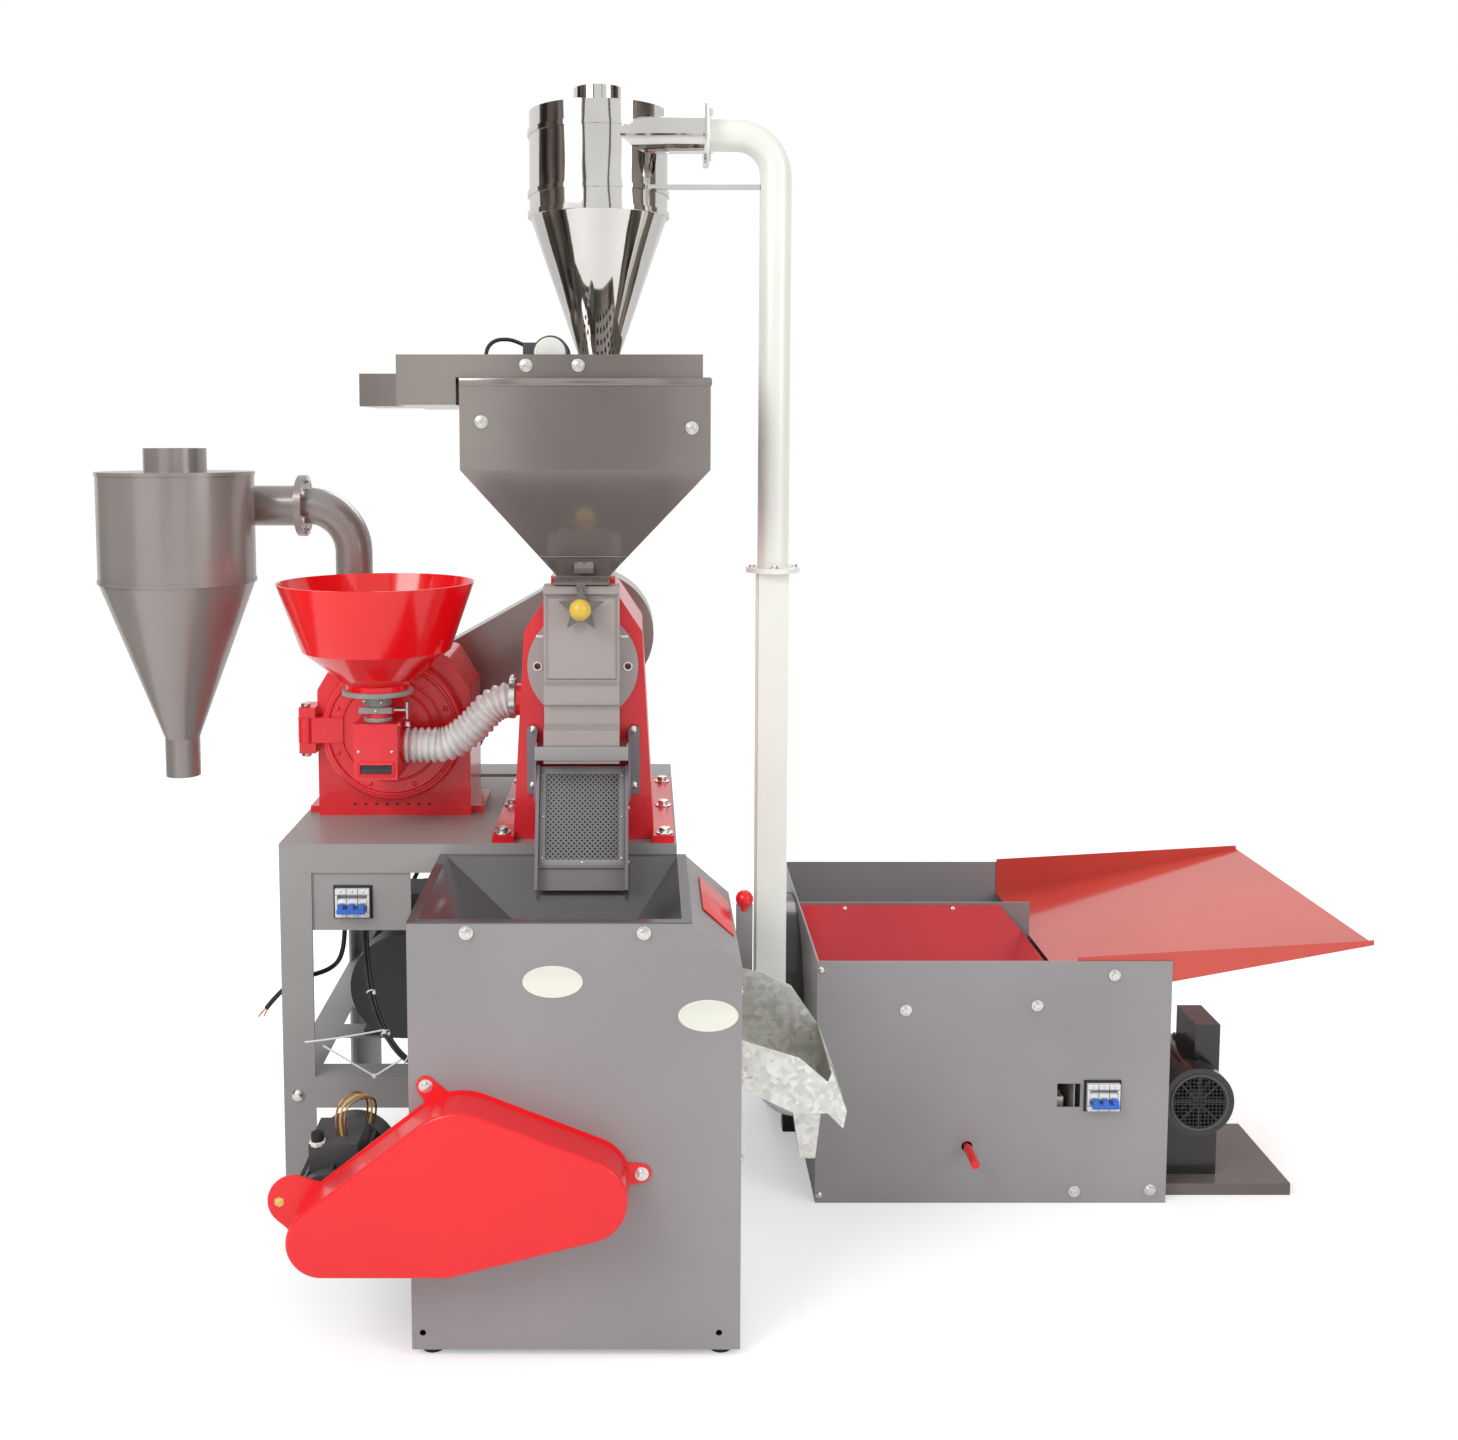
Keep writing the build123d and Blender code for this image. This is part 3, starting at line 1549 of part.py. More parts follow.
# Guard plate on the cab's front, with its rounded end, two ears and the shaft holes
plate_front = cab_front - guard_plate_thickness
belt_wheels = (
    (drive_motor_x, drive_motor_z, drive_motor_pulley_radius),
    (eccentric_x, eccentric_z, eccentric_pulley_radius),
    (fan_x, fan_z, fan_pulley_radius),
)
motor_lobe = (drive_motor_x + 4, drive_motor_z + 2, 47)
guard_circles = (
    motor_lobe,
    (eccentric_x - 5, eccentric_z - 2, 85),
    (fan_x, fan_z + 14, 57),
    (eccentric_x - 22, drive_motor_z - 15, 30),
)
ear_places = ((eccentric_x - 54, eccentric_z + 93), (fan_x + 75, fan_z + 22))
with BuildPart() as guard_plate:
    wrap(plate_front, cab_front, guard_circles, 3)
    wrap(plate_front, cab_front, ((drive_motor_x - 45, drive_motor_z + 29, 36), motor_lobe))
    for x, z, inward_x, inward_z in (
        (*ear_places[0], eccentric_x - 23, eccentric_z + 56),
        (*ear_places[1], fan_x + 25, fan_z + 20),
    ):
        wrap(plate_front, cab_front, ((x, z, 13), (inward_x, inward_z, 20)))
    for x, z in ear_places:
        drum(x, z, plate_front - 1, cab_front + 1, bolt_hole_radius, Mode.SUBTRACT)
    drum(
        drive_motor_x - 65,
        drive_motor_z + 28,
        plate_front - 1,
        cab_front + 1,
        bolt_hole_radius,
        Mode.SUBTRACT,
    )
    for x, z, radius in belt_wheels:
        drum(x, z, plate_front - 1, cab_front + 1, shaft_hole, Mode.SUBTRACT)
save(guard_plate, "guard_plate")

# Guard cover over the belt
with BuildPart() as belt_guard:
    wrap(belt_cover_front, plate_front, guard_circles)
    fillet(belt_guard.faces().sort_by(Axis.Y)[0].edges(), 5)
    wrap(belt_cover_front + sheet, plate_front + 1, guard_circles, -sheet, Mode.SUBTRACT)
save(belt_guard, "belt_guard")

# Belt of the destoner's drive
drive_lane = (belt_cover_front + plate_front) / 2 - 2
with BuildPart() as destoner_belt:
    belt_loop(belt_wheels, drive_lane)
save(destoner_belt, "destoner_belt")

# Destoner motor with its bracket on the cab's left wall
drive_motor_front = cab_front + 9
drive_motor_back = drive_motor_front + drive_motor_length
with BuildPart() as destoner_motor:
    drum(drive_motor_x, drive_motor_z, drive_motor_front, drive_motor_back, drive_motor_radius - 7)
    drum(drive_motor_x, drive_motor_z, drive_motor_back - 40, drive_motor_back, drive_motor_radius)
    drum(drive_motor_x, drive_motor_z, drive_motor_front, drive_motor_front + 14, drive_motor_radius - 2)
    with BuildSketch(Plane.XZ.offset(-(drive_motor_back - 40))):
        with Locations((drive_motor_x, drive_motor_z)):
            with PolarLocations(drive_motor_radius - 7, 10, start_angle=18):
                Rectangle(12, 4)
    extrude(amount=drive_motor_length - 54)
    block(cab_left - plate, cab_left, drive_motor_front + 10, drive_motor_back - 30, 110, 270)
    block(drive_motor_x + 20, cab_left, drive_motor_front + 30, drive_motor_back - 60, 140, 146)
    block(drive_motor_x + 20, cab_left, drive_motor_front + 30, drive_motor_back - 60, 234, 240)
    block(
        drive_motor_x - 34,
        drive_motor_x + 34,
        drive_motor_front + 30,
        drive_motor_front + 110,
        drive_motor_z,
        drive_motor_z + drive_motor_radius + 26,
    )
    drum(
        drive_motor_x,
        drive_motor_z,
        drive_motor_front - 1,
        drive_motor_front + 90,
        drive_shaft_radius + shaft_fit,
        Mode.SUBTRACT,
    )
save(destoner_motor, "destoner_motor")

shaft_front = drive_lane - belt_width / 2 - 9
shaft_back = cab_back - 4
with BuildPart() as destoner_rotor:
    drum(drive_motor_x, drive_motor_z, shaft_front, drive_motor_front + 89, drive_shaft_radius)
    pulley(drive_motor_x, drive_motor_z, drive_lane, drive_motor_pulley_radius)
save(destoner_rotor, "destoner_rotor")

# Eccentric shaft that shakes the deck
eccentric_throw = 4
with BuildPart() as eccentric_shaft:
    drum(eccentric_x, eccentric_z, shaft_front, shaft_back, drive_shaft_radius)
    drum(eccentric_x + eccentric_throw, eccentric_z, cab_y - 12, cab_y + 12, 20)
    pulley(eccentric_x, eccentric_z, drive_lane, eccentric_pulley_radius)
save(eccentric_shaft, "eccentric_shaft")

# Fan below the deck: shaft, two side rings and straight blades
fan_radius = 90
fan_blades = 8
fan_front = cab_front + 40
fan_back = cab_back - 50
with BuildPart() as destoner_fan:
    drum(fan_x, fan_z, shaft_front, shaft_back, drive_shaft_radius)
    drum(fan_x, fan_z, fan_front, fan_back, 22)
    with BuildSketch(Plane.XZ.offset(-fan_back)):
        with Locations((fan_x, fan_z)):
            with PolarLocations(fan_radius / 2, fan_blades):
                Rectangle(fan_radius, 2.5)
    extrude(amount=fan_back - fan_front)
    drum(fan_x, fan_z, cab_y - 2, cab_y + 2, fan_radius - 6)
    pulley(fan_x, fan_z, drive_lane, fan_pulley_radius)
save(destoner_fan, "destoner_fan")

# Vibrating deck: a perforated plate with low walls
with BuildPart() as destoner_deck:
    block(deck_left, deck_right, deck_front, deck_back, deck_low, deck_low + 28)
    block(
        deck_left + sheet,
        deck_right - sheet,
        deck_front + sheet,
        deck_back - sheet,
        deck_low + sheet,
        deck_low + 30,
        Mode.SUBTRACT,
    )
    with BuildSketch(Plane.XY.offset(deck_low - 1)):
        with Locations(((deck_left + deck_right) / 2, cab_y)):
            with GridLocations(40, 40, 8, 6):
                Rectangle(24, 4)
    extrude(amount=4, mode=Mode.SUBTRACT)
save(destoner_deck, "destoner_deck")

# Stone gate lever with its ball, on the pin at the cab's right wall
lever_left = cab_right + 8
lever_right = lever_left + 25
gate_ball_z = 560
with BuildPart() as stone_gate:
    block(lever_left, lever_right, gate_pin_y - 3, gate_pin_y + 3, gate_pin_z, gate_ball_z - 8)
    rod(gate_pin_y, gate_pin_z, lever_left, lever_right, 13)
    with Locations(((lever_left + lever_right) / 2, gate_pin_y, gate_ball_z)):
        Sphere(13)
    rod(gate_pin_y, gate_pin_z, lever_left - 1, lever_right + 1, 6 + shaft_fit, Mode.SUBTRACT)
save(stone_gate, "stone_gate")

# Discharge chute of the cab, folded from galvanised sheet, with its spout
chute_outline = [
    (cab_right, 356),
    (cab_right, 475),
    (28, 465),
    (72, 445),
    (114, 383),
    (136, 322),
    (131, 297),
    (109, 319),
    (63, 319),
]
chute_hollow = [
    (cab_right - 1, 358.6),
    (63.4, 321),
    (109.8, 321),
    (129.7, 301),
    (133.9, 322),
    (112, 382.4),
    (112, 500),
    (cab_right - 1, 500),
]
spout_x = 86
spout_y = (outlet_front + outlet_back) / 2
spout_lip = chute_spout_end_width - 2 * sheet
spout_throat = chute_spout_width - 2 * sheet
with BuildPart() as discharge_chute:
    front_outline(outlet_front, outlet_back, chute_outline)
    funnel(
        (spout_x + 3, spout_y, chute_spout_end, chute_spout_end_width, chute_spout_end_width),
        (spout_x, spout_y, chute_spout_top, chute_spout_width, chute_spout_width),
    )
    front_outline(outlet_front + sheet, outlet_back - sheet, chute_hollow, Mode.SUBTRACT)
    front_outline(
        outlet_front - 1,
        outlet_front + sheet + 1,
        [(cab_right - 1, 425), (70, 398), (109, 364), (116, 383), (112, 500), (cab_right - 1, 500)],
        Mode.SUBTRACT,
    )
    funnel(
        (spout_x + 3, spout_y, chute_spout_end - 0.1, spout_lip, spout_lip),
        (spout_x, spout_y, chute_spout_top + 1.5, spout_throat, spout_throat),
        Mode.SUBTRACT,
    )
save(discharge_chute, "discharge_chute")

# Cleaner box: outer walls, the divider behind the trough, the trough's floor and right wall
wall_in = sheet
tray_low_z = feed_floor_low - 3
motor_wall_x = cleaner_left + sheet
sieve_z = 150
with BuildPart() as cleaner_box:
    block(cleaner_left, cleaner_right, cleaner_front, cleaner_back, 0, cleaner_height)
    block(
        cleaner_left + wall_in,
        cleaner_right - wall_in,
        cleaner_front + wall_in,
        cleaner_back - wall_in,
        -1,
        cleaner_height + 1,
        Mode.SUBTRACT,
    )
    block(cleaner_left + 1, cleaner_right - 1, trough_back, trough_back + wall_in, 0, tray_low_z - 6)
    block(cleaner_left + 1, trough_right, trough_back, trough_back + wall_in, 0, cleaner_height)
    block(trough_right - wall_in, trough_right, cleaner_front + 1, trough_back, trough_floor, tray_low_z - 6)
    floor_low = trough_floor - wall_in
    block(cleaner_left + 1, cleaner_right - 1, cleaner_front + 1, trough_back + 1, floor_low, trough_floor)
    block(
        cleaner_right - 3,
        cleaner_right + 1,
        cleaner_front + wall_in,
        cleaner_back - wall_in,
        tray_low_z + 24,
        cleaner_height + 1,
        Mode.SUBTRACT,
    )
    for x, half_width, half_height in (
        (window_x, window_size / 2, window_size / 2 + 1),
        (cleaner_breaker_x, breaker_width / 2, breaker_height / 2),
    ):
        block(
            x - half_width,
            x + half_width,
            cleaner_front - 1,
            cleaner_front + 3,
            cleaner_breaker_z - half_height,
            cleaner_breaker_z + half_height,
            Mode.SUBTRACT,
        )
    drum(handle_x, handle_z, cleaner_front - 1, cleaner_front + 3, handle_radius + 4, Mode.SUBTRACT)
    rod(riser_y, lift_inlet, cleaner_left - 1, cleaner_left + 3, riser_radius + seat_gap, Mode.SUBTRACT)
    rod(blower_y, blower_z, cleaner_left - 1, cleaner_left + 3, blower_shaft_radius + 4, Mode.SUBTRACT)
    block(
        cleaner_left - 1,
        cleaner_left + 3,
        blower_y - 40,
        blower_y + 40,
        blower_z + 110,
        blower_z + 160,
        Mode.SUBTRACT,
    )
    for y_low, y_high in ((cleaner_front + 1, cleaner_front + 30), (trough_back - 28, trough_back + 1)):
        block(cleaner_left + 20, trough_right - 20, y_low, y_high, sieve_z - 8, sieve_z - seat_gap)
    for rail_x in (handle_x - 66, handle_x + 66):
        rail_top = handle_z - 5 - seat_gap
        block(rail_x - 5, rail_x + 5, cleaner_front + 60, trough_back - 50, trough_floor, rail_top)
save(cleaner_box, "cleaner_box")

# Red funnel sheet inside the trough
liner_low = 232
rim_gap = wall_in + seat_gap
trough_x = (cleaner_left + trough_right) / 2
trough_y = (cleaner_front + trough_back) / 2 + 1
liner_width = trough_width - 2 * rim_gap
liner_depth = trough_depth - 2 * rim_gap
with BuildPart() as trough_liner:
    funnel(
        (trough_x, trough_y, liner_low, 284, 124),
        (trough_x, trough_y, cleaner_height - 4, liner_width, liner_depth - 2),
    )
    funnel(
        (trough_x, trough_y, liner_low - 0.1, 280, 120),
        (trough_x, trough_y, cleaner_height - 3.9, liner_width - 4, liner_depth - 6),
        Mode.SUBTRACT,
    )
    front_outline(
        cleaner_front,
        trough_back,
        [
            (trough_right + 1, tray_low_z - 6),
            (trough_right + 1, cleaner_height),
            (trough_right - 60, cleaner_height),
        ],
        Mode.SUBTRACT,
    )
save(trough_liner, "trough_liner")

# Feed tray: a flared sheet that rises to the right, with low walls in front and behind
tray_inset = wall_in + seat_gap
with BuildPart() as feed_tray:
    front_outline(
        cleaner_front + tray_inset,
        cleaner_back - tray_inset,
        [
            (trough_right, feed_floor_low - sheet),
            (feed_tray_right, feed_floor_high - sheet),
            (feed_tray_right, feed_floor_high + feed_wall_rise),
            (trough_right, cleaner_height + feed_wall_rise),
        ],
    )
    front_outline(
        cleaner_front + tray_inset + sheet,
        cleaner_back - tray_inset - sheet,
        [
            (trough_right - 1, feed_floor_low),
            (feed_tray_right + 1, feed_floor_high),
            (feed_tray_right + 1, feed_floor_high + 80),
            (trough_right - 1, feed_floor_high + 80),
        ],
        Mode.SUBTRACT,
    )
save(feed_tray, "feed_tray")

# Blower housing: a thin round case with an eye in its left face and an outlet into the box
blower_left = cleaner_left - blower_width
with BuildPart() as blower_housing:
    rod(blower_y, blower_z, blower_left, cleaner_left, blower_radius)
    rod(blower_y, blower_z, blower_left - 6, blower_left, blower_eye_radius + 10)
    for leg_y in (blower_y - 120, blower_y + 90):
        block(cleaner_left - 30, cleaner_left, leg_y, leg_y + 30, 0, 80)
    rod(blower_y, blower_z, blower_left + sheet, cleaner_left - sheet, blower_radius - sheet, Mode.SUBTRACT)
    rod(blower_y, blower_z, blower_left - 7, blower_left + 3, blower_eye_radius, Mode.SUBTRACT)
    rod(blower_y, blower_z, cleaner_left - 3, cleaner_left + 1, blower_shaft_radius + 4, Mode.SUBTRACT)
    block(
        cleaner_left - 3,
        cleaner_left + 1,
        blower_y - 40,
        blower_y + 40,
        blower_z + 110,
        blower_z + 160,
        Mode.SUBTRACT,
    )
save(blower_housing, "blower_housing")

with BuildPart() as blower_impeller:
    rod(blower_y, blower_z, blower_left + 8, cleaner_left + 120, blower_shaft_radius)
    rod(blower_y, blower_z, cleaner_left - 12, cleaner_left - 9, impeller_radius)
    with BuildSketch(Plane.YZ.offset(blower_left + 12)):
        with Locations((blower_y, blower_z)):
            with PolarLocations(impeller_radius - 44, 10):
                Rectangle(84, 3, rotation=24)
    extrude(amount=cleaner_left - 12 - blower_left - 12)
save(blower_impeller, "blower_impeller")

# Blower motor inside the rear compartment
with BuildPart() as blower_motor:
    rod(blower_y, blower_z, motor_wall_x, motor_wall_x + 8, blower_motor_radius + 6)
    rod(blower_y, blower_z, motor_wall_x, motor_wall_x + blower_motor_length, blower_motor_radius)
    block(motor_wall_x + 30, motor_wall_x + 120, blower_y - 30, blower_y + 30, blower_z, blower_z + 78)
    rod(
        blower_y,
        blower_z,
        motor_wall_x - 1,
        motor_wall_x + 119,
        blower_shaft_radius + shaft_fit,
        Mode.SUBTRACT,
    )
save(blower_motor, "blower_motor")

# Cleaner motor: fan cowl with a grille in front, finned body, pedestal and terminal box
motor_back = cleaner_motor_front + cleaner_motor_length
cowl_back = cleaner_motor_front + 34
grille_radius = 46
base_top = 8 + base_thickness
cleaner_shaft_radius = 9
with BuildPart() as cleaner_motor:
    drum(cleaner_motor_x, cleaner_motor_z, cleaner_motor_front, cowl_back, cleaner_motor_radius)
    drum(cleaner_motor_x, cleaner_motor_z, cowl_back, motor_back, cleaner_motor_radius - 9)
    with BuildSketch(Plane.XZ.offset(-(motor_back - 12))):
        with Locations((cleaner_motor_x, cleaner_motor_z)):
            with PolarLocations(cleaner_motor_radius - 9, 12, start_angle=15):
                Rectangle(14, 4)
    extrude(amount=motor_back - 12 - cowl_back)
    block(cleaner_motor_x - 45, cleaner_motor_x + 45, 12, motor_back - 20, base_top, cleaner_motor_z)
    block(
        cleaner_motor_x + 9,
        cleaner_motor_x + 51,
        cowl_back + 16,
        motor_back - 34,
        cleaner_motor_z,
        cleaner_motor_z + cleaner_motor_radius + 54,
    )
    cowl_front = cleaner_motor_front
    cowl_bore = cleaner_motor_radius - 3
    drum(cleaner_motor_x, cleaner_motor_z, cowl_front + sheet, cowl_back - 1, cowl_bore, Mode.SUBTRACT)
    drum(cleaner_motor_x, cleaner_motor_z, cowl_front - 1, cowl_front + 3, grille_radius, Mode.SUBTRACT)
    drum(
        cleaner_motor_x,
        cleaner_motor_z,
        cowl_back - 2,
        motor_back + 1,
        cleaner_shaft_radius + shaft_fit,
        Mode.SUBTRACT,
    )
    with BuildSketch(Plane.XZ.offset(-(cleaner_motor_front + sheet))):
        with Locations((cleaner_motor_x, cleaner_motor_z)):
            Circle(9)
            for ring in (20, 32, 44):
                Circle(ring + 1)
                Circle(ring - 1, mode=Mode.SUBTRACT)
            with PolarLocations(28, 8):
                Rectangle(38, 2)
    extrude(amount=sheet)
save(cleaner_motor, "cleaner_motor")

with BuildPart() as cleaner_rotor:
    drum(cleaner_motor_x, cleaner_motor_z, cleaner_motor_front + 8, motor_back + 32, cleaner_shaft_radius)
    with BuildSketch(Plane.XZ.offset(-(cowl_back - 8))):
        with Locations((cleaner_motor_x, cleaner_motor_z)):
            Circle(16)
            with PolarLocations(30, 6):
                Rectangle(34, 3)
    extrude(amount=16)
    drum(cleaner_motor_x, cleaner_motor_z, motor_back + 14, motor_back + 24, 34)
    drum(cleaner_motor_x + 20, cleaner_motor_z, motor_back + 24, motor_back + 40, 6)
save(cleaner_rotor, "cleaner_rotor")

# Motor base: a plate beside the box, folded down in front
base_front = cleaner_motor_front + 4
with BuildPart() as motor_base:
    block(cleaner_right, cleaner_right + base_reach, base_front, base_front + base_width, 8, base_top)
    base_back = base_front + base_width
    block(cleaner_right, cleaner_right + base_reach, base_front, base_front + 3, 0, base_top)
    block(cleaner_right, cleaner_right + base_reach, base_back - 3, base_back, 0, base_top)
save(motor_base, "motor_base")

# Cleaning sieve inside the trough
with BuildPart() as cleaner_sieve:
    block(cleaner_left + 15, trough_right - 15, cleaner_front + 16, trough_back - 14, sieve_z, sieve_z + 24)
    block(
        cleaner_left + 17,
        trough_right - 17,
        cleaner_front + 18,
        trough_back - 16,
        sieve_z + 2,
        sieve_z + 25,
        Mode.SUBTRACT,
    )
    with BuildSketch(Plane.XY.offset(sieve_z - 1)):
        with Locations((trough_x, trough_y - 1)):
            with GridLocations(44, 40, 8, 6):
                Rectangle(30, 20)
    extrude(amount=4, mode=Mode.SUBTRACT)
save(cleaner_sieve, "cleaner_sieve")

# Trough gate: a plate on two rails, with the pull rod through the front wall
with BuildPart() as trough_gate:
    block(handle_x - 80, handle_x + 80, cleaner_front + 62, trough_back - 60, handle_z - 5, handle_z - 2)
    drum(handle_x, handle_z, cleaner_front - 58, cleaner_front + 70, handle_radius)
    drum(handle_x, handle_z, cleaner_front - 62, cleaner_front - 6, handle_radius + 2)
save(trough_gate, "trough_gate")

# Bearings of the huller, the mill and the destoner
with BuildPart() as shaft_bearings:
    for x, z, starts, width, outer, inner in (
        (
            huller_x,
            huller_axis,
            (huller_wall_front + 1, huller_pedestal_front + 6),
            18,
            bearing_radius,
            huller_shaft_radius,
        ),
        (
            mill_x,
            mill_axis,
            (mill_chamber_back + 3, mill_housing_back - 20),
            16,
            mill_bearing_radius,
            mill_shaft_radius,
        ),
        (
            eccentric_x,
            eccentric_z,
            (cab_front + sheet, cab_back - sheet - drive_bearing_width),
            drive_bearing_width,
            drive_bearing_radius,
            drive_shaft_radius,
        ),
        (
            fan_x,
            fan_z,
            (cab_front + sheet, cab_back - sheet - drive_bearing_width),
            drive_bearing_width,
            drive_bearing_radius,
            drive_shaft_radius,
        ),
    ):
        for start in starts:
            drum(x, z, start, start + width, outer)
            drum(x, z, start - 1, start + width + 1, inner + shaft_fit, Mode.SUBTRACT)
save(shaft_bearings, "shaft_bearings")

# Bolt heads on the sheets, the feet and the flanges
front_bolts = (
    (cab_front, (-385, 598)),
    (cab_front, (-147, 598)),
    (cleaner_front, (280, 328)),
    (cleaner_front, (494, 336)),
    (cleaner_front, (619, 387)),
    (cleaner_front, (562, 20)),
    (cleaner_front, (687, 23)),
    (plate_front, ear_places[0]),
    (plate_front, ear_places[1]),
    (flange_front, (huller_x - 70, huller_axis)),
    (flange_front, (huller_x + 70, huller_axis)),
)
with BuildPart() as fasteners:
    for face, place in front_bolts:
        with BuildSketch(Plane.XZ.offset(-face)):
            with Locations(place):
                RegularPolygon(bolt_head_radius, 6)
        extrude(amount=bolt_head_height)
    for side in (-1, 1):
        for row in huller_foot_rows:
            with BuildSketch(Plane.XY.offset(table_top + huller_foot_thickness)):
                with Locations((huller_x + side * huller_foot_bolt_half, row)):
                    RegularPolygon(bolt_head_radius + 2, 6)
            extrude(amount=bolt_head_height + 2)
save(fasteners, "fasteners")


def cord_radii(points):
    # The bend radius at each inner point: 0.45 of the shorter run over the tangent of half the turn.
    radii = []
    for before, here, after in zip(points, points[1:], points[2:]):
        first = Vector(*here) - Vector(*before)
        second = Vector(*after) - Vector(*here)
        half_turn = radians(first.get_angle(second)) / 2
        radii.append(0.45 * min(first.length, second.length) / tan(half_turn))
    return radii


# Power lead: from the panel's breaker, past the table's left leg, to bare ends
lead_radius = 4
lead_points = [
    (-622, -95, breaker_z - breaker_height / 2 - breaker_flank),
    (-622, -95, 445),
    (-650, -75, 405),
    (-720, -66, 388),
    (-757, -66, 340),
]
with BuildPart() as power_lead:
    with BuildLine() as lead_path:
        FilletPolyline(*lead_points, radius=cord_radii(lead_points))
    with BuildSketch(lead_path.line ^ 0):
        Circle(lead_radius)
    sweep(path=lead_path.line)
save(power_lead, "power_lead")
print("lead radii", cord_radii(lead_points))

# Cable from the panel's breaker to the cab
cable_radius = 6
cable_points = [
    (-590, -95, breaker_z - breaker_height / 2 - breaker_flank),
    (-590, -95, 430),
    (-570, -140, 370),
    (-535, -187, 330),
    (-500, -195, 300),
    (cab_left, -195, 300),
]
with BuildPart() as cable_bundle:
    with BuildLine() as cable_path:
        FilletPolyline(*cable_points, radius=cord_radii(cable_points))
    with BuildSketch(cable_path.line ^ 0):
        Circle(cable_radius)
    sweep(path=cable_path.line)
save(cable_bundle, "cable_bundle")
print("cable radii", cord_radii(cable_points))
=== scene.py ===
import bpy
import json
from math import cos, pi, radians, sin
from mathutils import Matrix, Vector


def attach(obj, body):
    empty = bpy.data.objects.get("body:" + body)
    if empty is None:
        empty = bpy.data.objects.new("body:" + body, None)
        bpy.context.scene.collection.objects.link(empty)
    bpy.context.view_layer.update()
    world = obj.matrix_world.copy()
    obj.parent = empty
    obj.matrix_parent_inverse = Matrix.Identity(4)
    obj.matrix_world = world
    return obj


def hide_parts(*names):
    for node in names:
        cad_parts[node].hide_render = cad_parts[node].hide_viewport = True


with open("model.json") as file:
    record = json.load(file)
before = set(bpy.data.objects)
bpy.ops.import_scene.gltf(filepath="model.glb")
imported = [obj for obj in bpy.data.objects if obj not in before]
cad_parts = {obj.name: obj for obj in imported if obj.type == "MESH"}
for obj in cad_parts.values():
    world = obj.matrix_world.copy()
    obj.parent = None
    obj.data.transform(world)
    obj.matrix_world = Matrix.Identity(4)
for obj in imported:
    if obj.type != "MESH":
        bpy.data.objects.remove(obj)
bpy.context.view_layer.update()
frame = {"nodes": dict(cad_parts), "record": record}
print("frame loaded:", len(frame["nodes"]), "nodes")


# finishes: one for each kind of surface

def newFinish(name):
    finish = bpy.data.materials.new(name)
    finish.use_nodes = True
    nodes = finish.node_tree.nodes
    return finish, nodes, finish.node_tree.links, nodes["Principled BSDF"]


def grain(nodes, links, scale, detail=3.0, stretch=(1, 1, 1)):
    # noise on object coordinates, stretched along an axis where the metal was rolled or spun
    coords = nodes.new("ShaderNodeTexCoord")
    mapping = nodes.new("ShaderNodeMapping")
    mapping.inputs["Scale"].default_value = stretch
    noise = nodes.new("ShaderNodeTexNoise")
    noise.inputs["Scale"].default_value = scale
    noise.inputs["Detail"].default_value = detail
    links.new(coords.outputs["Object"], mapping.inputs["Vector"])
    links.new(mapping.outputs["Vector"], noise.inputs["Vector"])
    return noise.outputs["Fac"]


def ramp(nodes, links, source, low, high, start=0.3, end=0.7):
    band = nodes.new("ShaderNodeValToRGB")
    band.color_ramp.elements[0].position = start
    band.color_ramp.elements[0].color = (*low, 1)
    band.color_ramp.elements[1].position = end
    band.color_ramp.elements[1].color = (*high, 1)
    links.new(source, band.inputs["Fac"])
    return band.outputs["Color"]


def unevenGloss(nodes, links, shader, source, gloss, smear):
    # maps a noise to a range of roughness
    span = nodes.new("ShaderNodeMapRange")
    span.inputs["From Min"].default_value = 0.2
    span.inputs["From Max"].default_value = 0.8
    span.inputs["To Min"].default_value = gloss
    span.inputs["To Max"].default_value = gloss + smear
    links.new(source, span.inputs["Value"])
    links.new(span.outputs["Result"], shader.inputs["Roughness"])


def relief(nodes, links, shader, source, depth):
    bump = nodes.new("ShaderNodeBump")
    bump.inputs["Strength"].default_value = 1.0
    bump.inputs["Distance"].default_value = depth
    links.new(source, bump.inputs["Height"])
    links.new(bump.outputs["Normal"], shader.inputs["Normal"])


def paintedSheet(name, **own):
    # sprayed paint: slow drift of the colour, faint orange peel, uneven gloss
    values = {**sheetPeel, **own}
    finish, nodes, links, shader = newFinish(name)
    slow = grain(nodes, links, values["drift"])
    links.new(ramp(nodes, links, slow, values["deep"], values["pale"]), shader.inputs["Base Color"])
    handling = grain(nodes, links, 14, 2)
    unevenGloss(nodes, links, shader, handling, values["gloss"], values["smear"])
    relief(nodes, links, shader, grain(nodes, links, values["peel"], 2), values["peelDepth"])
    shader.inputs["Metallic"].default_value = values.get("metal", 0.0)
    shader.inputs["Coat Weight"].default_value = values.get("coat", 0.0)
    shader.inputs["Coat Roughness"].default_value = 0.08
    return finish


def bareMetal(name, **values):
    # rolled, turned or spun metal with fine lines along one axis
    finish, nodes, links, shader = newFinish(name)
    lines = grain(nodes, links, values["lines"], 2, values["stretch"])
    links.new(ramp(nodes, links, lines, values["deep"], values["pale"]), shader.inputs["Base Color"])
    unevenGloss(nodes, links, shader, lines, values["gloss"], values["smear"])
    relief(nodes, links, shader, lines, values["lineDepth"])
    shader.inputs["Metallic"].default_value = 1.0
    return finish


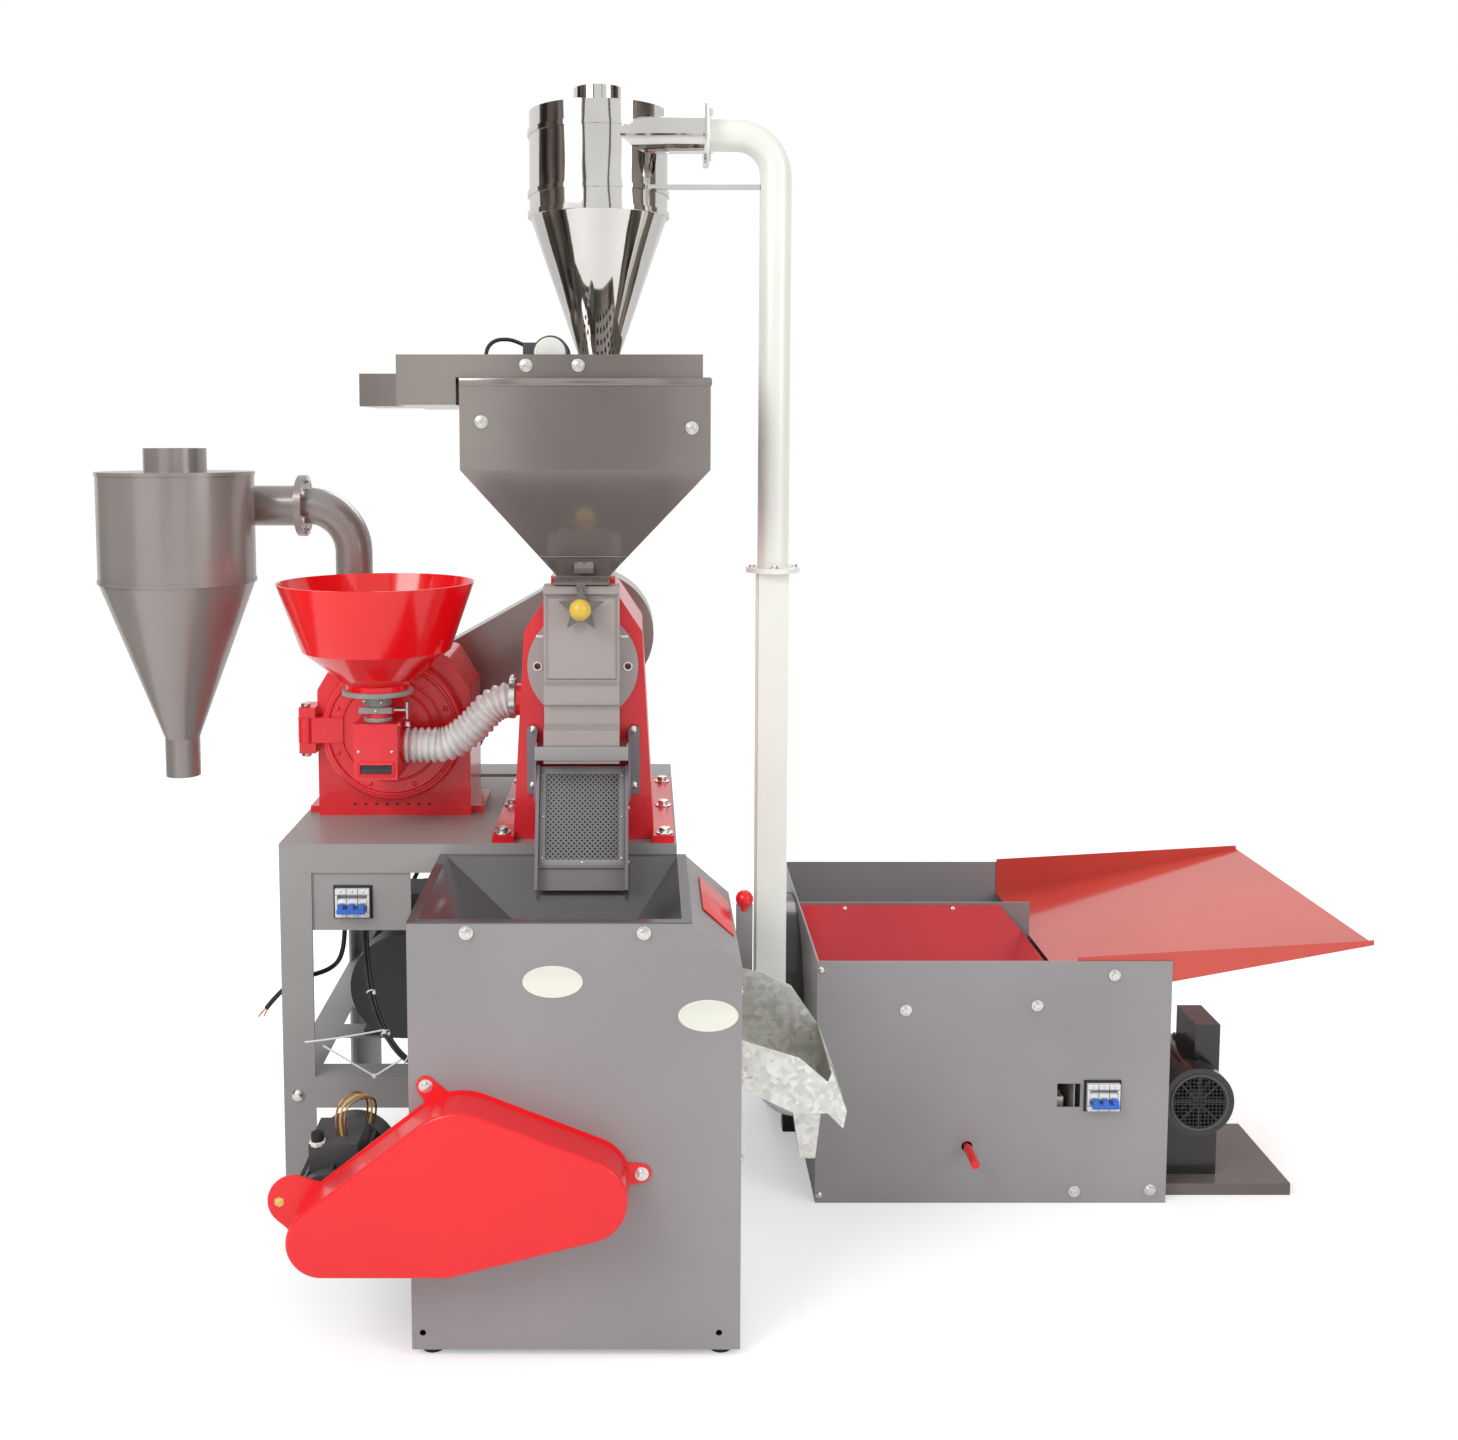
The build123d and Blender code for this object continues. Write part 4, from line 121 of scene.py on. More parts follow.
def spangledZinc(name, **values):
    # galvanised sheet: crystals of different grey, each with its own gloss
    finish, nodes, links, shader = newFinish(name)
    coords = nodes.new("ShaderNodeTexCoord")
    crystals = nodes.new("ShaderNodeTexVoronoi")
    crystals.inputs["Scale"].default_value = values["crystals"]
    links.new(coords.outputs["Object"], crystals.inputs["Vector"])
    split = nodes.new("ShaderNodeSeparateColor")
    links.new(crystals.outputs["Color"], split.inputs["Color"])
    tone = ramp(nodes, links, split.outputs["Red"], values["deep"], values["pale"], 0.0, 1.0)
    links.new(tone, shader.inputs["Base Color"])
    unevenGloss(nodes, links, shader, split.outputs["Green"], values["gloss"], values["smear"])
    relief(nodes, links, shader, grain(nodes, links, 60), 0.0002)
    shader.inputs["Metallic"].default_value = 0.75
    return finish


def castPaint(name, **values):
    # enamel over a sand casting: pitted relief under a wet gloss
    finish, nodes, links, shader = newFinish(name)
    tone = ramp(nodes, links, grain(nodes, links, 9), values["deep"], values["pale"])
    links.new(tone, shader.inputs["Base Color"])
    unevenGloss(nodes, links, shader, grain(nodes, links, 40), values["gloss"], 0.12)
    relief(nodes, links, shader, grain(nodes, links, values["sand"], 6), values["sandDepth"])
    shader.inputs["Coat Weight"].default_value = 0.5
    shader.inputs["Coat Roughness"].default_value = 0.1
    return finish


def softMatter(name, **values):
    # rubber and plastics: even colour with mottling and a fine mould grain
    finish, nodes, links, shader = newFinish(name)
    tone = ramp(nodes, links, grain(nodes, links, values["mottle"]), values["deep"], values["pale"])
    links.new(tone, shader.inputs["Base Color"])
    unevenGloss(nodes, links, shader, grain(nodes, links, 90), values["gloss"], 0.1)
    relief(nodes, links, shader, grain(nodes, links, values["mould"], 3), values["mouldDepth"])
    shader.inputs["Transmission Weight"].default_value = values.get("clear", 0.0)
    shader.inputs["Subsurface Weight"].default_value = values.get("glow", 0.0)
    shader.inputs["Subsurface Radius"].default_value = (0.003, 0.003, 0.003)
    return finish


sheetPeel = {"drift": 2.2, "gloss": 0.34, "smear": 0.07, "peel": 420, "peelDepth": 0.00003}
finishes = {
    "frame_grey": paintedSheet("tablePaint", deep=(0.285, 0.275, 0.270), pale=(0.350, 0.338, 0.330)),
    "cab_grey": paintedSheet("cabPaint", deep=(0.285, 0.268, 0.272), pale=(0.345, 0.328, 0.335)),
    "silver_grey": paintedSheet(
        "hopperPaint", deep=(0.255, 0.228, 0.212), pale=(0.335, 0.302, 0.278), gloss=0.13, smear=0.03,
        metal=0.5, coat=0.5,
    ),
    "cyclone_grey": paintedSheet(
        "cyclonePaint", deep=(0.270, 0.243, 0.228), pale=(0.350, 0.318, 0.296), gloss=0.22, metal=0.35,
        coat=0.4,
    ),
    "guard_red": paintedSheet(
        "guardPaint", deep=(0.80, 0.006, 0.012), pale=(0.93, 0.010, 0.018), gloss=0.30, coat=0.35,
    ),
    "tray_red": paintedSheet(
        "trayPaint", deep=(0.56, 0.045, 0.030), pale=(0.66, 0.070, 0.042), gloss=0.16, coat=0.7,
    ),
    "black_paint": paintedSheet(
        "blackPaint", deep=(0.010, 0.010, 0.011), pale=(0.024, 0.022, 0.022), gloss=0.2, coat=0.5,
    ),
    "motor_grey": paintedSheet(
        "motorPaint", deep=(0.060, 0.062, 0.066), pale=(0.095, 0.098, 0.102), gloss=0.42,
    ),
    "cast_red": castPaint(
        "castRedPaint", deep=(0.70, 0.008, 0.016), pale=(0.86, 0.022, 0.034), gloss=0.24, sand=130,
        sandDepth=0.0006,
    ),
    "cast_iron": bareMetal(
        "castIron", deep=(0.12, 0.12, 0.12), pale=(0.22, 0.215, 0.21), gloss=0.45, smear=0.15, lines=90,
        stretch=(1, 1, 1), lineDepth=0.0004,
    ),
    "machined_steel": bareMetal(
        "turnedSteel", deep=(0.46, 0.45, 0.44), pale=(0.66, 0.65, 0.63), gloss=0.26, smear=0.16,
        lines=220, stretch=(1, 0.2, 1), lineDepth=0.0001,
    ),
    "polished_steel": bareMetal(
        "polishedSheet", deep=(0.70, 0.68, 0.65), pale=(0.86, 0.84, 0.81), gloss=0.04, smear=0.06,
        lines=9, stretch=(1, 1, 0.55), lineDepth=0.0042,
    ),
    "galvanised": spangledZinc(
        "galvanisedSheet", deep=(0.66, 0.66, 0.62), pale=(0.90, 0.89, 0.84), gloss=0.32, smear=0.25,
        crystals=130,
    ),
    "pale_zinc": paintedSheet(
        "paleZinc", deep=(0.80, 0.80, 0.74), pale=(0.92, 0.92, 0.86), gloss=0.3, metal=0.1,
    ),
    "black_rubber": softMatter(
        "blackRubber", deep=(0.012, 0.012, 0.012), pale=(0.026, 0.025, 0.025), gloss=0.6, mottle=30,
        mould=600, mouldDepth=0.0002,
    ),
    "breaker_white": softMatter(
        "breakerCase", deep=(0.78, 0.79, 0.78), pale=(0.88, 0.88, 0.86), gloss=0.35, mottle=12, mould=900,
        mouldDepth=0.0001,
    ),
    "toggle_blue": softMatter(
        "toggleBlue", deep=(0.020, 0.12, 0.55), pale=(0.035, 0.17, 0.66), gloss=0.25, mottle=20,
        mould=900, mouldDepth=0.0001,
    ),
    "hose_grey": softMatter(
        "hosePlastic", deep=(0.60, 0.61, 0.60), pale=(0.80, 0.81, 0.79), gloss=0.16, mottle=40, mould=400,
        mouldDepth=0.0002, glow=0.2,
    ),
    "cord_black": softMatter(
        "cordSheath", deep=(0.012, 0.012, 0.013), pale=(0.025, 0.025, 0.026), gloss=0.42, mottle=60,
        mould=900, mouldDepth=0.0002,
    ),
    # for small pieces and single nodes
    "zinc": bareMetal(
        "zincBolt", deep=(0.74, 0.73, 0.70), pale=(0.92, 0.91, 0.88), gloss=0.2, smear=0.15, lines=160,
        stretch=(1, 1, 1), lineDepth=0.0001,
    ),
    "brass": bareMetal(
        "brassKnob", deep=(0.72, 0.50, 0.12), pale=(0.92, 0.72, 0.24), gloss=0.2, smear=0.12, lines=160,
        stretch=(1, 1, 1), lineDepth=0.0001,
    ),
    "plate": paintedSheet(
        "blankPlate", deep=(0.80, 0.80, 0.71), pale=(0.88, 0.88, 0.79), gloss=0.22, metal=0.1,
    ),
    "tie": softMatter(
        "nylonTie", deep=(0.78, 0.78, 0.76), pale=(0.88, 0.88, 0.86), gloss=0.35, mottle=30, mould=700,
        mouldDepth=0.0001,
    ),
    # dark: the own colour of dark seams, and painted shade in the air holes and behind the screen; also used
    # on the cleaner's rotor
    "dark": softMatter(
        "darkSeamsAndShade", deep=(0.012, 0.012, 0.013), pale=(0.030, 0.030, 0.032), gloss=0.5, mottle=80,
        mould=700, mouldDepth=0.0002,
    ),
    "yellow": softMatter(
        "yellowPlastic", deep=(0.70, 0.46, 0.05), pale=(0.82, 0.58, 0.09), gloss=0.22, mottle=40,
        mould=900, mouldDepth=0.0001,
    ),
    "copper": bareMetal(
        "copperWire", deep=(0.62, 0.26, 0.12), pale=(0.80, 0.40, 0.20), gloss=0.25, smear=0.1, lines=200,
        stretch=(1, 1, 1), lineDepth=0.0001,
    ),
    "mesh": paintedSheet("meshPaint", deep=(0.16, 0.155, 0.165), pale=(0.25, 0.24, 0.255), gloss=0.4),
    "chutePaint": paintedSheet("chutePaint", deep=(0.19, 0.165, 0.18), pale=(0.25, 0.22, 0.24)),
    "coverPaint": paintedSheet(
        "coverPaint", deep=(0.34, 0.295, 0.285), pale=(0.44, 0.385, 0.370), gloss=0.3, metal=0.2,
    ),
    "panPaint": paintedSheet(
        "panPaint", deep=(0.125, 0.120, 0.128), pale=(0.175, 0.166, 0.176), gloss=0.13, smear=0.04,
        metal=0.4,
    ),
    "basePaint": paintedSheet(
        "basePaint", deep=(0.115, 0.098, 0.088), pale=(0.165, 0.140, 0.126), gloss=0.24,
    ),
    "linerPaint": paintedSheet(
        "linerPaint", deep=(0.58, 0.012, 0.022), pale=(0.68, 0.022, 0.034), gloss=0.2, coat=0.5,
    ),
    "starPaint": paintedSheet(
        "starPaint", deep=(0.130, 0.115, 0.108), pale=(0.185, 0.166, 0.156), gloss=0.28,
    ),
    "endWhite": softMatter(
        "endWhite", deep=(0.74, 0.73, 0.69), pale=(0.86, 0.85, 0.81), gloss=0.3, mottle=30, mould=700,
        mouldDepth=0.0001,
    ),
    "bowlPaint": paintedSheet(
        "bowlPaint", deep=(0.86, 0.002, 0.006), pale=(0.95, 0.005, 0.010), gloss=0.12, smear=0.06,
        coat=0.6,
    ),
}
ownFinish = {
    "huller_head": "coverPaint", "screen_chute": "chutePaint", "cab_pan": "panPaint",
    "motor_base": "basePaint", "trough_liner": "linerPaint", "mill_hopper": "bowlPaint",
    "cleaner_rotor": "dark",
}
for entry in frame["record"]["subparts"]:
    node = frame["nodes"][entry["node"]]
    if not node.material_slots:
        node.data.materials.append(None)
    for holder in node.material_slots:
        holder.material = finishes[ownFinish.get(entry["node"], entry["material_slot"])]
zinc, brass, dark = finishes["zinc"], finishes["brass"], finishes["dark"]
print("finishes made:", len(finishes))


# small tools for modelling by hand

# how far an edge is rounded, from thin sheet to knobs
hairEdge, thinEdge, keenEdge, fineEdge = 0.0001, 0.0003, 0.0005, 0.0006
softEdge, fullEdge, roundEdge, broadEdge = 0.0008, 0.0010, 0.0012, 0.0018


def leaveEdit():
    bpy.ops.object.mode_set(mode="OBJECT")


def editAll():
    bpy.ops.object.mode_set(mode="EDIT")
    bpy.ops.mesh.select_all(action="SELECT")


def linked(name, data):
    piece = bpy.data.objects.new(name, data)
    bpy.context.collection.objects.link(piece)
    return piece


def putDown():
    if bpy.context.mode != "OBJECT":
        leaveEdit()
    bpy.ops.object.select_all(action="DESELECT")


def pick(*pieces):
    putDown()
    for piece in pieces:
        piece.select_set(True)
    bpy.context.view_layer.objects.active = pieces[0]


def settle():
    # the place goes into the mesh and the origin to the frame's own
    bpy.ops.object.transform_apply(location=True, rotation=True, scale=True)


def ease(piece, width, steps=2):
    # rounds the edges
    pick(piece)
    bevel = piece.modifiers.new("ease", "BEVEL")
    bevel.width = width
    bevel.segments = steps
    bevel.limit_method = "ANGLE"
    bevel.angle_limit = radians(35)
    bpy.ops.object.modifier_apply(modifier=bevel.name)


def thicken(piece, thickness):
    pick(piece)
    wall = piece.modifiers.new("wall", "SOLIDIFY")
    wall.thickness = thickness
    wall.offset = -1
    bpy.ops.object.modifier_apply(modifier=wall.name)


def turnFor(axis):
    return {"x": (0, radians(90), 0), "y": (radians(90), 0, 0), "z": (0, 0, 0)}[axis]


def settled(edge=0.0):
    # the primitive just added, with its place in its mesh and its edges eased
    piece = bpy.context.object
    settle()
    if edge:
        ease(piece, edge)
    return piece


def bar(centre, size, edge=0.0):
    putDown()
    bpy.ops.mesh.primitive_cube_add(size=1, location=centre)
    bpy.context.object.scale = size
    return settled(edge)


def roundBar(centre, radius, depth, axis="z", sides=48, edge=0.0):
    putDown()
    bpy.ops.mesh.primitive_cylinder_add(
        vertices=sides, radius=radius, depth=depth, location=centre, rotation=turnFor(axis),
    )
    return settled(edge)


def roundRing(centre, radius, thickness, sides, steps, turn):
    putDown()
    bpy.ops.mesh.primitive_torus_add(
        major_radius=radius, minor_radius=thickness, major_segments=sides, minor_segments=steps,
        location=centre, rotation=turn,
    )
    return settled()


def ball(centre, radius, turn=(0, 0, 0)):
    putDown()
    bpy.ops.mesh.primitive_uv_sphere_add(
        segments=40, ring_count=24, radius=radius, location=centre, rotation=turn,
    )
    return settled()


def collar(centre, outer, inner, depth, axis="z", sides=72, edge=0.0):
    # a ring with a wall
    putDown()
    bpy.ops.mesh.primitive_cylinder_add(
        vertices=sides, radius=outer, depth=depth, location=centre, rotation=turnFor(axis),
        end_fill_type="NOTHING",
    )
    piece = settled()
    thicken(piece, outer - inner)
    if edge:
        ease(piece, edge)
    return piece


def sheetFrame(centre, size, border, thickness, edge):
    # a flat frame cut from sheet, lying in X and Y
    putDown()
    bpy.ops.mesh.primitive_plane_add(size=1, location=centre)
    bpy.context.object.scale = (*size, 1)
    piece = settled()
    editAll()
    bpy.ops.mesh.inset(thickness=border)
    bpy.ops.mesh.delete(type="FACE")
    leaveEdit()
    thicken(piece, thickness)
    ease(piece, edge)
    return piece


def cutSheet(corners, face, thickness, edge):
    # a flat sheet with its outline in X and Z, thickened from face
    mesh = bpy.data.meshes.new("sheet")
    mesh.from_pydata([(x, face, z) for x, z in corners], [], [tuple(range(len(corners)))])
    piece = linked("sheet", mesh)
    thicken(piece, thickness)
    ease(piece, edge)
    return piece


def joined(pieces, name):
    pick(*pieces)
    if len(pieces) > 1:
        bpy.ops.object.join()
    whole = bpy.context.object
    whole.name = name
    return whole


def dress(pieces, name, body, slotName, finish=None, angle=32):
    # the last step: one mesh with smooth faces, its finish and body; the slot name picks the finish when none
    # is given
    piece = joined(pieces, name) if isinstance(pieces, list) else pieces
    pick(piece)
    settle()
    bpy.ops.object.shade_smooth_by_angle(angle=radians(angle))
    piece.name = name
    piece.data.materials.clear()
    piece.data.materials.append(finishes[slotName] if finish is None else finish)
    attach(piece, body)
    return piece


def copyAt(piece, place):
    twin = piece.copy()
    twin.data = piece.data.copy()
    bpy.context.collection.objects.link(twin)
    twin.location = place
    return twin


def spreadOut(first, places, name):
    # the first is a pattern, and every place gets a copy
    copies = [copyAt(first, Vector(place)) for place in places]
    bpy.data.objects.remove(first)
    for piece in copies:
        pick(piece)
        settle()
    return joined(copies, name)


def facesWhere(piece, test):
    # picks faces by their normal, in edit mode
    leaveEdit()
    for vertex in piece.data.vertices:
        vertex.select = False
    for edge in piece.data.edges:
        edge.select = False
    for face in piece.data.polygons:
        face.select = bool(test(face.normal))
    bpy.ops.object.mode_set(mode="EDIT")
    bpy.ops.mesh.select_mode(type="FACE")


def openEnds(piece, axis, rim):
    # takes both end faces away inside a rim; axis 0 is X and 1 is Y
    facesWhere(piece, lambda normal: abs(normal[axis]) > 0.9)
    bpy.ops.mesh.inset(thickness=rim)
    bpy.ops.mesh.delete(type="FACE")
    leaveEdit()


def stepFront(piece, steps):
    # insets the front face and moves it along Y, once for each pair of values
    facesWhere(piece, lambda normal: normal.y < -0.9)
    for width, depth in steps:
        bpy.ops.mesh.inset(thickness=width)
        bpy.ops.transform.translate(value=(0, depth, 0))
    leaveEdit()


headTurns = {"-y": (90, 0, 0), "+z": (0, 0, 0), "+x": (0, 90, 0), "-x": (0, -90, 0)}


def headTowards(piece, axis):
    pick(piece)
    piece.rotation_euler = [radians(angle) for angle in headTurns[axis]]
    settle()
    return piece


def washerBolt(values, axis):
    # a hex head with a chamfered top on a washer, made at the origin
    across, tall, washer = values["across"], values["head"], values["washer"]
    head = roundBar((0, 0, washer + tall / 2), across / 2, tall, "z", 6, tall * 0.14)
    disc = roundBar((0, 0, washer / 2), across * 0.72, washer, "z", 20, washer * 0.3)
    return headTowards(joined([head, disc], "bolt"), axis)


def domeScrew(radius, height, axis):
    # a pan head screw, made at the origin
    putDown()
    bpy.ops.mesh.primitive_uv_sphere_add(segments=16, ring_count=8, radius=radius, location=(0, 0, 0))
    bpy.context.object.scale = (1, 1, height / radius)
    screw = settled()
    editAll()
    bpy.ops.mesh.bisect(plane_co=(0, 0, 0), plane_no=(0, 0, 1), clear_inner=True, use_fill=True)
    leaveEdit()
    return headTowards(screw, axis)


def boltSet(name, places, size, axis="-y", body="base"):
    whole = spreadOut(washerBolt(size, axis), places, name)
    return dress(whole, name, body, "machined_steel", zinc, 25)


def screwSet(name, places, size, axis="-y", body="base", finish=zinc):
    whole = spreadOut(domeScrew(*size, axis), places, name)
    return dress(whole, name, body, "machined_steel", finish)


def drawnLine(name, points, thickness):
    # a cord on one smooth line through its control points
    curveData = bpy.data.curves.new(name, "CURVE")
    curveData.dimensions = "3D"
    line = curveData.splines.new("NURBS")
    line.points.add(len(points) - 1)
    for control, place in zip(line.points, points):
        control.co = (*place, 1)
    line.order_u = 3
    line.use_endpoint_u = True
    curveData.bevel_depth = thickness
    curveData.bevel_resolution = 5
    curveData.resolution_u = 16
    curveData.use_fill_caps = True
    return linked(name, curveData)


def strand(name, points, thickness, finish, body="base"):
    piece = drawnLine(name, points, thickness)
    piece.data.materials.append(finish)
    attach(piece, body)
    return piece


def readLine(points):
    guide = drawnLine("guide", points, 0)
    guide.data.use_fill_caps = False
    bpy.context.view_layer.update()
    mesh = bpy.data.meshes.new_from_object(guide)
    places = [vertex.co.copy() for vertex in mesh.vertices]
    bpy.data.objects.remove(guide)
    bpy.data.meshes.remove(mesh)
    return places


def onRound(centre, radius, count, firstTurn):
    # places on a circle around a centre that is given in the circle's own plane
    turns = [radians(firstTurn + 360 * number / count) for number in range(count)]
    return [(centre[0] + cos(turn) * radius, centre[1] + sin(turn) * radius) for turn in turns]


# camera and light

view = {"place": (-0.1455, -2.3375, 1.254), "pitch": 5.0, "lens": 35.8, "shift": (0.0576, -0.1049)}
cameraData = bpy.data.cameras.new("camera")
camera = linked("camera", cameraData)
camera.location = view["place"]
camera.rotation_euler = (radians(90 - view["pitch"]), 0, 0)
cameraData.lens = view["lens"]
cameraData.sensor_width = 36
cameraData.shift_x, cameraData.shift_y = view["shift"]
bpy.context.scene.camera = camera
bpy.context.scene.view_settings.view_transform = "Standard"

studio = {
    "floorSize": 40, "floorPlace": (0, 2.5, 0), "floorTone": (0.86, 0.86, 0.86),
    "floorLift": 0.36, "sky": 0.78,
    "lamps": {
        "keyLamp": ((-2.4, -2.6, 3.0), (-0.2, 0, 0.8), (1.8, 1.8), 60),
        "fillLamp": ((3.0, -2.4, 2.2), (0.2, 0, 0.6), (1.6, 2.2), 28),
        "backLamp": ((0.5, 2.8, 3.0), (-0.2, 0, 0.9), (2.4, 1.4), 30),
    },
}
for name, (place, aim, size, watts) in studio["lamps"].items():
    lampData = bpy.data.lights.new(name, "AREA")
    lampData.shape = "RECTANGLE"
    lampData.size, lampData.size_y = size
    lampData.energy = watts
    lamp = linked(name, lampData)
    lamp.location = place
    lamp.rotation_euler = (Vector(place) - Vector(aim)).to_track_quat("Z", "Y").to_euler()

# the camera sees a plain white sky, and the machine is lit by a weaker one
world = bpy.data.worlds.new("studio")
bpy.context.scene.world = world
world.use_nodes = True
worldNodes, worldLinks = world.node_tree.nodes, world.node_tree.links
background = worldNodes["Background"]
background.inputs["Color"].default_value = (1, 1, 1, 1)
rays = worldNodes.new("ShaderNodeLightPath")
seen = worldNodes.new("ShaderNodeMath")
seen.operation = "MULTIPLY_ADD"
worldLinks.new(rays.outputs["Is Camera Ray"], seen.inputs[0])
seen.inputs[1].default_value = 1.0 - studio["sky"]
seen.inputs[2].default_value = studio["sky"]
worldLinks.new(seen.outputs["Value"], background.inputs["Strength"])

putDown()
bpy.ops.mesh.primitive_plane_add(size=studio["floorSize"], location=studio["floorPlace"])
floor = settled()
floor.name = "floor"
floorFinish, floorNodes, floorLinks, floorShader = newFinish("floorPaper")
floorRays = floorNodes.new("ShaderNodeLightPath")
floorLift = floorNodes.new("ShaderNodeMath")
floorLift.operation = "MULTIPLY"
floorLift.inputs[1].default_value = studio["floorLift"]
floorLinks.new(floorRays.outputs["Is Camera Ray"], floorLift.inputs[0])
floorLinks.new(floorLift.outputs["Value"], floorShader.inputs["Emission Strength"])
floorShader.inputs["Emission Color"].default_value = (1, 1, 1, 1)
floorShader.inputs["Base Color"].default_value = (*studio["floorTone"], 1)
floorShader.inputs["Roughness"].default_value = 0.9
floorShader.inputs["Specular IOR Level"].default_value = 0.1
floor.data.materials.append(floorFinish)

# dark cards that only reflections see, so polished and glossy metal has something to mirror
cards = {
    "leftCard": ((-2.0, -0.25, 1.30), (0, 90, 0), (2.4, 1.9)),
    "rightCard": ((1.75, -0.25, 1.30), (0, -90, 0), (2.4, 1.9)),
    "leftStrip": ((-0.95, -1.9, 1.65), (90, 0, -20), (0.16, 1.5)),
    "rightStrip": ((0.42, -1.95, 1.65), (90, 0, 20), (0.10, 1.5)),
    "frontCard": ((-0.36, -4.2, 1.42), (90, 0, 0), (0.66, 1.0)),
}
cardLook = {"cloud": 1.9, "deep": (0.020, 0.017, 0.015), "pale": (0.26, 0.23, 0.20), "band": (0.35, 0.68)}
cardFinish, cardNodes, cardLinks, cardShader = newFinish("cardBlack")
cardCloud = grain(cardNodes, cardLinks, cardLook["cloud"])
cardTone = ramp(cardNodes, cardLinks, cardCloud, cardLook["deep"], cardLook["pale"], *cardLook["band"])
cardLinks.new(cardTone, cardShader.inputs["Base Color"])
cardShader.inputs["Roughness"].default_value = 1.0
cardShader.inputs["Specular IOR Level"].default_value = 0.0
for name, (place, turn, size) in cards.items():
    putDown()
    bpy.ops.mesh.primitive_plane_add(size=1, location=place, rotation=[radians(angle) for angle in turn])
    bpy.context.object.scale = (*size, 1)
    card = settled()
    card.name = name
    card.data.materials.append(cardFinish)
    card.visible_camera = card.visible_diffuse = card.visible_shadow = card.visible_transmission = False
print("camera, light and floor set")


# power lead, which hangs from the panel and ends in three bare conductors

lead = {
    "route": [
        (-0.622, -0.095, 0.495), (-0.622, -0.095, 0.445), (-0.650, -0.075, 0.405),
        (-0.720, -0.066, 0.388), (-0.757, -0.066, 0.340),
    ],
    "radius": 0.0038, "length": 0.227,
    "wire": 0.0011, "strip": 0.016, "inside": 0.002, "aside": 0.0018, "flare": 3.2,
}
leadPiece = strand("powerLead", lead["route"], lead["radius"], finishes["cord_black"])
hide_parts("power_lead")
endPlace = Vector(lead["route"][-1])
endRun = (endPlace - Vector(lead["route"][-2])).normalized()
for number, tone in enumerate(("copper", "yellow", "copper")):
    turn = radians(120 * number)
    aside = Vector((cos(turn), sin(turn), 0)) * lead["aside"]
    start = endPlace - endRun * lead["inside"] + aside
    middle = start + endRun * lead["strip"] * 0.6 + aside
    tip = endPlace + endRun * lead["strip"] + aside * lead["flare"]
    strand(f"leadWire{number}", [start, middle, tip], lead["wire"], finishes[tone])
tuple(lead["route"][0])


# cable to the cab: three cores side by side, held by ties

cable = {
    "route": [
        (-0.590, -0.095, 0.495), (-0.590, -0.095, 0.430), (-0.570, -0.140, 0.370),
        (-0.535, -0.187, 0.330), (-0.500, -0.195, 0.300), (-0.465, -0.195, 0.300),
    ],
    "radius": 0.0028, "lay": 0.0031,
    "ties": (0.3, 0.55, 0.8), "tieRadius": 0.0062, "tieThick": 0.0012,
    "lock": (0.005, 0.004, 0.005), "lockPlace": (0.006, -0.004, 0),
}
for number in range(3):
    turn = radians(120 * number)
    aside = Vector((cos(turn), sin(turn), 0.3)) * cable["lay"]
    route = [Vector(place) + aside for place in cable["route"]]
    strand(f"cableCore{number}", route, cable["radius"], finishes["cord_black"])
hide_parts("cable_bundle")
run = readLine(cable["route"])
tiePieces = []
for share in cable["ties"]:
    spot = int(share * (len(run) - 1))
    here, ahead = run[spot], run[min(spot + 1, len(run) - 1)]
    turn = (ahead - here).to_track_quat("Z", "Y").to_euler()
    tiePieces.append(roundRing(here, cable["tieRadius"], cable["tieThick"], 28, 8, turn))
    tiePieces.append(bar(here + Vector(cable["lockPlace"]), cable["lock"], fineEdge))
dress(tiePieces, "cableTies", "base", "breaker_white", finishes["tie"])
print("lead and cable laid")


# corrugated hose

hose = {
    "route": [
        (-0.5345, -0.025, 0.763), (-0.500, -0.025, 0.763), (-0.462, -0.025, 0.762),
        (-0.420, -0.025, 0.795), (-0.385, -0.025, 0.838), (-0.3525, -0.025, 0.838),
    ],
    "crest": 0.0290, "root": 0.0240, "wall": 0.0014, "ribs": 19, "ribSteps": 6, "bulge": 0.7, "sides": 40,
}


def hoseRings(values):
    # evenly spaced places along the line, each with its direction and the radius there
    line = readLine(values["route"])
    lengths = [0.0]
    for before, here in zip(line, line[1:]):
        lengths.append(lengths[-1] + (here - before).length)
    steps = values["ribs"] * values["ribSteps"]
    for step in range(steps + 1):
        reach = lengths[-1] * step / steps
        spot = max(i for i in range(len(lengths)) if lengths[i] <= reach + 1e-9)
        spot = min(spot, len(line) - 2)
        share = (reach - lengths[spot]) / max(lengths[spot + 1] - lengths[spot], 1e-9)
        ahead = (line[min(spot + 2, len(line) - 1)] - line[max(spot - 1, 0)]).normalized()
        swell = (0.5 - 0.5 * cos(2 * pi * step / values["ribSteps"])) ** values["bulge"]
        radius = values["root"] + (values["crest"] - values["root"]) * swell
        yield line[spot].lerp(line[spot + 1], share), ahead, radius


def hoseTube(values):
    # a ring is swept along the line and swells at each rib
    vertices, faces, sides = [], [], values["sides"]
    for place, ahead, radius in hoseRings(values):
        across = Vector((0, 1, 0))
        upward = ahead.cross(across).normalized()
        for side in range(sides):
            turn = 2 * pi * side / sides
            vertices.append(place + (across * cos(turn) + upward * sin(turn)) * radius)
    for first in range(0, len(vertices) - sides, sides):
        for side in range(sides):
            a, b = first + side, first + (side + 1) % sides
            faces.append((a, b, b + sides, a + sides))
    mesh = bpy.data.meshes.new("hose")
    mesh.from_pydata(vertices, [], faces)
    piece = linked("hose", mesh)
    pick(piece)
    editAll()
    bpy.ops.mesh.normals_make_consistent(inside=False)
    leaveEdit()
    thicken(piece, values["wall"])
    return piece


